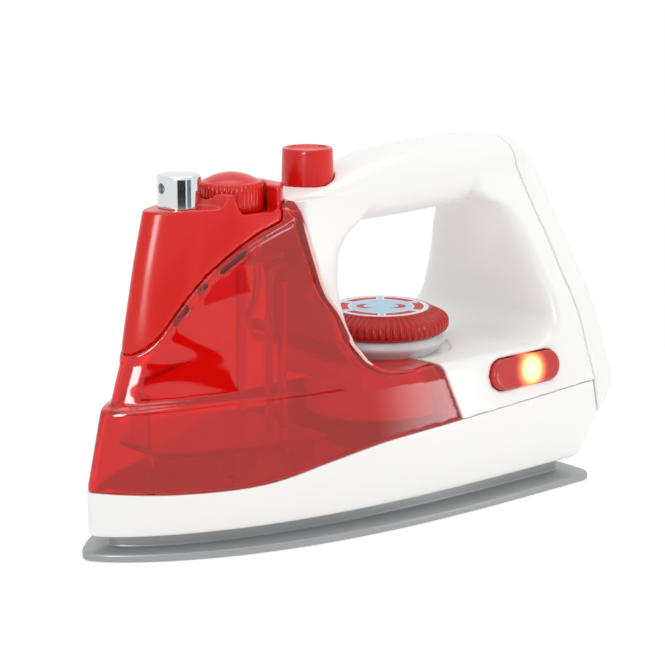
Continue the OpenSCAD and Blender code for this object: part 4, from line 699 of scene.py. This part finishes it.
SLOT_FINISHES = {"soleplate": sole_grey_abs, "white_shell": white_abs, "clear_red": clear_red_san,
                 "red_plastic": red_abs, "seal_rubber": seal_nbr, "nozzle_plating": chrome_plating,
                 "pale_plastic": milky_pp, "grey_plastic": grey_pom, "steel": zinc_steel, "dial_print": coated_paper,
                 "lamp": lamp_epoxy, "switch_black": black_nylon, "board_green": board_lacquer,
                 "cell_can": cell_sleeve}
NODE_FINISHES = {
    "white_shell": ["base_shell", "body_shell_left", "body_shell_right", "rear_cover", "button_guide"],
    "soleplate": ["soleplate", "battery_door"],
    "clear_red": ["water_tank", "tank_tray"],
    "red_plastic": ["front_cover", "filler_neck", "filler_cap", "spray_button", "dial_knob", "light_button"],
    "seal_rubber": ["cap_seal", "plunger_seal"],
    "nozzle_plating": ["spray_nozzle"],
    "pale_plastic": ["spray_tube", "dip_tube", "pump_cylinder", "dial_collar"],
    "grey_plastic": ["nozzle_core", "pump_plunger", "dial_shaft"],
    "steel": ["valve_ball", "button_spring", "dial_clip", "board_screws", "battery_contacts", "door_screw",
              "sole_screws", "body_screws", "rear_cover_screws"],
    "dial_print": ["dial_label"], "lamp": ["light_lamp"], "switch_black": ["light_switch"],
    "board_green": ["circuit_board"], "cell_can": ["battery_cells"]}
for slot, names in NODE_FINISHES.items():
    for name in names:
        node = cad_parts[name]
        node.data.materials.clear()
        node.data.materials.append(SLOT_FINISHES[slot])


def stand_in(piece, mat, slot, *nodes, body="housing"):
    """A finished piece moves with a body, and stands for the CAD nodes that are named."""
    piece.data.materials.clear()
    piece.data.materials.append(mat)
    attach(piece, body)
    if nodes:
        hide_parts(*nodes)
    return piece


def shade_smooth(piece, angle=40):
    piece.data.polygons.foreach_set("use_smooth", [True] * len(piece.data.polygons))
    piece.data.set_sharp_from_angle(angle=math.radians(angle))
    return piece


# Shells
whole = soften(white_body())
for side, half_name in ((-1, "body_shell_left"), (1, "body_shell_right")):
    half = in_scene(half_name + "_smooth", whole.data.copy())
    combine(half, [wall_half(side)], "INTERSECT")
    if side > 0:
        combine(half, [bore((x, BODY_SCREW_Y, z), (0, 1, 0), SCREW_HOLE_R, CUT_W) for x, z in BODY_SCREWS],
                "DIFFERENCE")
    stand_in(shade_smooth(half), white_abs, "white_shell", half_name)
bpy.data.objects.remove(whole)
for make, mat, slot in ((rear_cover, white_abs, "white_shell"), (water_tank, clear_red_san, "clear_red"),
                        (front_cover, red_abs, "red_plastic")):
    piece = soften(make())
    piece.name = make.__name__ + "_smooth"
    if make is rear_cover:
        combine(piece, [bore((rear_seam_x(COVER_SCREW_Z) + REAR_COVER_T / 2, y, COVER_SCREW_Z),
                             (math.cos(HEEL_LEAN), 0, -math.sin(HEEL_LEAN)), SCREW_HOLE_R, REAR_COVER_T)
                        for y in (-COVER_SCREW_Y, COVER_SCREW_Y)], "DIFFERENCE")
        shade_smooth(piece)
    stand_in(piece, mat, slot, make.__name__)


def edge_line(name, side_points, wall, r):
    """Thin round line on a wall along points of the side view, once on each side of the iron."""
    rings, n = [], 10
    for side in (-1, 1):
        path = []
        for x, z in side_points:
            hit, where = wall.ray_cast(Vector((x, side * CUT_W / 2, z)) * MM, Vector((0, -side, 0)))[:2]
            if hit:
                path.append(Vector((x, where.y / MM - side * r * LIP_SUNK, z)))
        # A mean over nine points takes out what the wall's small faces add
        depths = np.convolve(np.pad([p.y for p in path], 4, mode="edge"), np.full(9, 1 / 9), mode="valid")
        path = [Vector((p.x, y, p.z)) for p, y in zip(path, depths)]
        for i, p in enumerate(path):
            ahead = (path[min(i + 1, len(path) - 1)] - path[max(i - 1, 0)]).normalized()
            out = ahead.cross(Vector((0, 1, 0))).normalized()
            far = ahead.cross(out)
            # The ends run out to a quarter of the thickness
            size = r * min(1, 0.25 + 0.25 * min(i, len(path) - 1 - i))
            rings.append([p + (out * math.cos(a) + far * math.sin(a)) * size
                          for a in np.arange(n) * 2 * math.pi / n])
    half = len(rings) // 2
    faces = []
    for first in (0, half):
        faces += tube_faces(half, n, first * n)
        faces += [tuple(range(first * n, (first + 1) * n)),
                  tuple(range((first + half - 1) * n, (first + half) * n))]
    return mesh_object(name, [tuple(p) for row in rings for p in row], faces)


tank = bpy.data.objects["water_tank_smooth"]
# Painted highlight: a thin pale line on each side along the tank's rear lip
lip_highlight = edge_line("tank_lip_highlight", [(x - LIP_IN, z - LIP_IN) for x, z in tank_sweep(0) if z < LIP_TOP_Z], tank, LIP_R)
stand_in(shade_smooth(lip_highlight), painted_highlight_red_san, "clear_red")
# The tongues' near-black red is painted shade in the slots
tongues = clip_tongues()
tongues.name = "cover_tongues_painted_shade"
stand_in(tongues, painted_shade_red_abs, "red_plastic")
for make, mat, slot in ((base_shell, white_abs, "white_shell"), (soleplate, sole_grey_abs, "soleplate")):
    piece = make()
    piece.name = make.__name__ + "_smooth"
    stand_in(shade_smooth(piece), mat, slot, make.__name__)


def lengthwise_bar(name, x_low, x_high, z, r, steps=48):
    """Round bar along the iron's length."""
    a = np.arange(steps) * 2 * math.pi / steps
    points = [(x, r * math.cos(t), z + r * math.sin(t)) for x in (x_low, x_high) for t in a]
    return mesh_object(name, points, tube_faces(2, steps) + [tuple(range(steps)), tuple(range(steps, 2 * steps))])


# Dial: ribbed knob, printed disc and the collar under them
knob = turned("dial_knob_smooth", [
    (0, 0), (24.9, 0), (25.5, 0.1), (26.3, 0.7, 0.3), (26.9, 1.6, 0.6), (27, 2.6, 0.8), (27, 4, 0.9), (26.8, 4.9, 1),
    (26.3, 5.6, 1), (25.4, 6.2, 1), (23.5, 7.1, 0.9), (21.5, 8, 0.7), (20.5, 8.5, 0.4), (20, 8.75), (19.7, 8.95),
    (19.45, 9), (19.2, 8.9), (19.1, 8.45), (0, 8.4)], (DIAL_X, 0, DIAL_Z), 720, 60)
stand_in(shade_smooth(knob, 60), satin_red_abs_painted_shade, "red_plastic", "dial_knob", body="dial")
collar = turned("dial_collar_smooth", [
    (0, 0), (22.14, 0), (23, 0.75), (24.5, 2.3), (25.6, 3.9), (25.9, 4.6), (25.8, 5.2), (25.3, 6), (24.6, 7.1),
    (24.3, 7.5), (23.8, 7.7), (0, 7.7)], (DIAL_X, 0, DECK_Z), 160)
combine(collar, [rod("shaft_hole", DIAL_X, DECK_Z - OVERRUN, SHAFT_HOLE_R, SHAFT_HOLE_H)], "DIFFERENCE")
stand_in(shade_smooth(collar), pale_grey_abs, "pale_plastic", "dial_collar")


# Print on the disc: turn and angle of a field, radii of its rims and edges, and half widths of the bars between fields
PRINT_TURN, FIELD_ANGLE, OUTER_RIM_R, INNER_RIM_R = 49.5, 60, 18, 12.6
FIELD_LOW_R, FIELD_HIGH_R, BAR_HALF, BAR_RIM_HALF = 13.2, 16.9, 0.9, 1.6
# Two crescents: offset and radius of the round that is printed, offsets and radius of the round left out of it
CRESCENT_OFF, CRESCENT_R, BITE_OFF, BITE_AHEAD, BITE_R = 6, 3.9, 3.9, 0.4, 3.1


def printed_disc():
    """Paper disc as a polar grid: blue ground, white rims, red fields and two crescents."""
    radii, turns = np.linspace(0, LABEL_R, 77)[1:], 480
    a = np.arange(turns) * 2 * math.pi / turns
    points = [(DIAL_X, 0, LABEL_TOP_Z)]
    points += [(DIAL_X + r * math.cos(t), r * math.sin(t), LABEL_TOP_Z) for r in radii for t in a]
    faces = [(0, 1 + i, 1 + (i + 1) % turns) for i in range(turns)]
    faces += [(1 + j * turns + i, 1 + (j + 1) * turns + i, 1 + (j + 1) * turns + (i + 1) % turns,
               1 + j * turns + (i + 1) % turns) for j in range(len(radii) - 1) for i in range(turns)]
    low = 1 + len(radii) * turns
    points += [(DIAL_X + LABEL_R * math.cos(t), LABEL_R * math.sin(t), LABEL_LOW_Z) for t in a]
    edge = low - turns
    faces += [(edge + i, low + i, low + (i + 1) % turns, edge + (i + 1) % turns) for i in range(turns)]
    faces.append(tuple(range(low, low + turns))[::-1])
    disc = mesh_object("dial_label_smooth", points, faces)
    stand_in(disc, coated_paper, "dial_print", "dial_label", body="dial")
    disc.data.materials.append(white_print)
    disc.data.materials.append(red_print)
    turn = math.radians(PRINT_TURN)
    for face in disc.data.polygons:
        x, y = face.center.x / MM - DIAL_X, face.center.y / MM
        r, field = math.hypot(x, y), math.degrees(math.atan2(y, x) - turn) % FIELD_ANGLE
        side = abs(x * math.sin(turn) - y * math.cos(turn))
        ahead = x * math.cos(turn) + y * math.sin(turn)
        off = min(field, FIELD_ANGLE - field) * math.radians(1) * r
        in_field = FIELD_LOW_R <= r <= FIELD_HIGH_R and off >= BAR_RIM_HALF
        crescent = (math.hypot(side - CRESCENT_OFF, ahead) < CRESCENT_R
                    and math.hypot(side - BITE_OFF, ahead - BITE_AHEAD) > BITE_R)
        if crescent or in_field:
            face.material_index = 2
        elif r > OUTER_RIM_R or (r > INNER_RIM_R and off > BAR_HALF):
            face.material_index = 1


printed_disc()

# Filler cap: finger ribs, a lens-shaped top and a plug with a groove for the seal
dome = [(10.5 * s, 11.05 + 3.15 * (1 - s * s)) for s in np.linspace(1, 0, 16)[:-1]]
cap = turned("filler_cap_smooth", [
    (0, -1), (3.7, -1), (3.7, -7), (6.4, -7), (6.7, -6.7), (6.7, -4.45), (5.7, -4.45), (5.7, -2.55), (6.7, -2.55),
    (6.7, 0), (11.3, 0), (11.8, 0.2), (12.2, 0.8, 0.14), (12.2, 8.8, 0.14), (12.2, 9.2, 0.3), (12.05, 9.9, 0.4),
    (11.7, 10.5, 0.3), (11.2, 10.9), (10.8, 11)] + dome + [(0, 14.2)], (CAP_X, 0, CAP_Z), 528, 44)
stand_in(shade_smooth(cap, 50), red_abs, "red_plastic", "filler_cap", body="filler_cap")

# Spray button: hollow cup with a shallow thumb dish
button = turned("spray_button_smooth", [
    (0, 137.8), (8.15, 137.8), (8.15, 119.4), (9.95, 119.4), (9.95, 129), (9.62, 139), (9.55, 139.7), (9.3, 140.2),
    (8.9, 140.4), (8.35, 140.38), (7.95, 140.2), (7.6, 139.8), (7, 139.55), (5, 139.42), (0, 139.4)],
    (BUTTON_X, 0, 0), 128)
stand_in(shade_smooth(button), red_abs, "red_plastic", "spray_button", body="spray_button")

# Return spring: the same wire, on a mesh of its own
spring = in_scene("button_spring_coil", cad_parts["button_spring"].data.copy())
stand_in(spring, zinc_steel, "steel", "button_spring")
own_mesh(spring)

# Nozzle: plated cap with one round jet
nozzle = turned("spray_nozzle_smooth", [
    (0, 10.8), (6.7, 10.8), (6.7, 0), (7.7, 0), (7.85, 0.08), (7.9, 0.25), (7.9, 0.5), (7.9, 10.8), (7.9, 11),
    (7.83, 11.4), (7.6, 11.75), (7.25, 11.95), (6.8, 12), (0, 12)], (NOZZLE_X, 0, NOZZLE_DECK_Z), 128)
combine(nozzle, [lengthwise_bar("jet", NOZZLE_X - JET_REACH, NOZZLE_X, JET_Z, JET_R)], "DIFFERENCE")
stand_in(shade_smooth(nozzle, 35), chrome_plating, "nozzle_plating", "spray_nozzle")

# Light button: rounded bar with a soft crown
levels = [(-PILL_DEPTH, 1.4), (-2.8, 1.4), (-2.8, 0), (1, 0), (1.4, -0.12), (1.7, -0.4), (1.88, -0.85), (1.97, -1.6),
          (2, -3)]
stand_in(shade_smooth(pill_body("light_button_smooth", levels)), lit_red_pc, "red_plastic", "light_button",
         body="light_button")

# Camera: place in mm and directions, from the fit to the plate's edge and the seams
CAMERA_PLACE = (-482.68, -567.54, 239.85)
camera = in_scene("camera", bpy.data.cameras.new("camera"))
look, right = Vector((0.63223, 0.74103, -0.22621)), Vector((0.76075, -0.64905, 0))
up = right.cross(look)
camera.matrix_world = Matrix.Translation(Vector(CAMERA_PLACE) * MM) @ Matrix((
    (right.x, up.x, -look.x, 0), (right.y, up.y, -look.y, 0), (right.z, up.z, -look.z, 0), (0, 0, 0, 1)))
camera.data.sensor_width, camera.data.lens = 36, 106.2
camera.data.clip_start, camera.data.clip_end = 0.01, 50
bpy.context.scene.camera = camera

# Floor; the shadow's reach and the start of plain white are in metres
FLOOR_HALF, SHADOW_REACH, PLAIN_FROM, PAPER_GLOW = 3000, 0.14, 0.3, 0.38
floor = mesh_object("floor", [(x * FLOOR_HALF, y * FLOOR_HALF, 0) for x, y in ((-1, -1), (1, -1), (1, 1), (-1, 1))],
                    [(0, 1, 2, 3)])
paper = bpy.data.materials.new("white_paper_floor")
paper.use_nodes = True
tree = paper.node_tree
tree.nodes.remove(tree.nodes["Principled BSDF"])
matt = add(tree, "ShaderNodeBsdfDiffuse", {"Color": (0.85, 0.85, 0.85, 1)})
glow = add(tree, "ShaderNodeEmission", {"Color": (1, 1, 1, 1), "Strength": PAPER_GLOW})
lit = add(tree, "ShaderNodeAddShader", {0: matt.outputs[0], 1: glow.outputs[0]})
# Farther off than the shadow reaches, the camera sees plain white paper, and reflections see it everywhere
place = add(tree, "ShaderNodeTexCoord")
reach = add(tree, "ShaderNodeVectorMath", {0: place.outputs["Object"]}, operation="LENGTH")
far = add(tree, "ShaderNodeMapRange", {"Value": reach.outputs["Value"], "From Min": SHADOW_REACH,
                                       "From Max": PLAIN_FROM})
path = add(tree, "ShaderNodeLightPath")
direct = add(tree, "ShaderNodeMath", {0: path.outputs["Is Camera Ray"], 1: path.outputs["Is Transmission Ray"]},
             operation="MAXIMUM")
beyond = add(tree, "ShaderNodeMath", {0: far.outputs["Result"], 1: direct.outputs[0]}, operation="MULTIPLY")
share = add(tree, "ShaderNodeMath", {0: beyond.outputs[0], 1: path.outputs["Is Glossy Ray"]}, operation="MAXIMUM")
plain = add(tree, "ShaderNodeEmission", {"Color": (1, 1, 1, 1), "Strength": 1.0})
paper_mix = add(tree, "ShaderNodeMixShader", {0: share.outputs[0], 1: lit.outputs[0], 2: plain.outputs[0]})
tree.links.new(paper_mix.outputs[0], tree.nodes["Material Output"].inputs["Surface"])
floor.data.materials.append(paper)

# Surroundings light the iron softly, and show as white to the camera and in reflections
ROOM_LIGHT = 0.57
world = bpy.data.worlds.new("studio")
bpy.context.scene.world = world
world.use_nodes = True
tree = world.node_tree
back = tree.nodes["Background"]
path = add(tree, "ShaderNodeLightPath")
direct = add(tree, "ShaderNodeMath", {0: path.outputs["Is Camera Ray"], 1: path.outputs["Is Transmission Ray"]},
             operation="MAXIMUM")
shown = add(tree, "ShaderNodeMath", {0: direct.outputs[0], 1: path.outputs["Is Glossy Ray"]}, operation="MAXIMUM")
level = add(tree, "ShaderNodeMapRange", {"Value": shown.outputs[0], "To Min": ROOM_LIGHT, "To Max": 1.0})
tree.links.new(level.outputs["Result"], back.inputs["Strength"])
back.inputs["Color"].default_value = (1, 1, 1, 1)


def panel(name, place, aim, size, power):
    """Soft light panel that faces a point."""
    lamp = bpy.data.lights.new(name, "AREA")
    lamp.shape, lamp.size, lamp.size_y, lamp.energy = "RECTANGLE", size[0], size[1], power
    made = in_scene(name, lamp)
    made.location = place
    made.rotation_euler = (Vector(aim) - Vector(place)).to_track_quat("-Z", "Y").to_euler()
    return made


IRON_MIDDLE = (0, 0, 0.06)
panel("key_panel", (-0.55, -0.5, 0.75), IRON_MIDDLE, (0.5, 0.5), 1.8)
panel("top_panel", (0.1, 0.1, 0.9), IRON_MIDDLE, (0.7, 0.5), 2.2)
panel("side_panel", (0.75, -0.6, 0.4), IRON_MIDDLE, (0.4, 0.6), 1.5).visible_glossy = False
# Tall strip beside the camera: pale band down the rounded reds and the plating, no fill
strip = panel("nose_strip", (-0.83, -0.53, 0.33), (-0.09, 0, 0.09), (0.2, 0.29), 3.2)
strip.visible_diffuse = False


CARD_STEPS = 8


def card(name, centre, away, bearings, heights, colour, glow):
    """Upright bent card that only mirror reflections see; its glow fades in from its first bearing."""
    turns = np.radians(np.linspace(*bearings, CARD_STEPS + 1))
    points = [(centre[0] + away * math.cos(b), centre[1] + away * math.sin(b), z) for z in heights for b in turns]
    made = mesh_object(name, points, [(i, i + 1, i + CARD_STEPS + 2, i + CARD_STEPS + 1) for i in range(CARD_STEPS)])
    board = bpy.data.materials.new(name)
    board.use_nodes = True
    tree = board.node_tree
    shader = tree.nodes["Principled BSDF"]
    shader.inputs["Base Color"].default_value = linear(colour)
    shader.inputs["Roughness"].default_value = 1
    if glow:
        shader.inputs["Emission Color"].default_value = (1, 1, 1, 1)
        place = add(tree, "ShaderNodeTexCoord")
        flat = add(tree, "ShaderNodeVectorMath", {0: place.outputs["Object"], 1: (1, 1, 0)}, operation="MULTIPLY")
        from_start = add(tree, "ShaderNodeVectorMath", {
            0: flat.outputs["Vector"], 1: (points[0][0] * MM, points[0][1] * MM, 0)}, operation="DISTANCE")
        fade = add(tree, "ShaderNodeMapRange", {
            "Value": from_start.outputs["Value"], "From Max": away * abs(turns[-1] - turns[0]) * MM, "To Max": glow},
            interpolation_type="SMOOTHSTEP")
        tree.links.new(fade.outputs["Result"], shader.inputs["Emission Strength"])
    made.data.materials.append(board)
    made.visible_camera = made.visible_diffuse = made.visible_shadow = made.visible_transmission = False


# Dark cards give the plating its contrast, a glowing one the lobes their pale sheen
card("black_card", (NOZZLE_X, 0), 250, (-135, -92), (83, 103), "#0c0c0d", 0)
card("grey_card", (NOZZLE_X, 0), 250, (-84, -62), (83, 103), "#6f8595", 0)
card("sheen_card", (5, -42), 240, (-70, -48), (1, 62), "#ffffff", 5.5)

bpy.context.scene.view_settings.view_transform = "Standard"
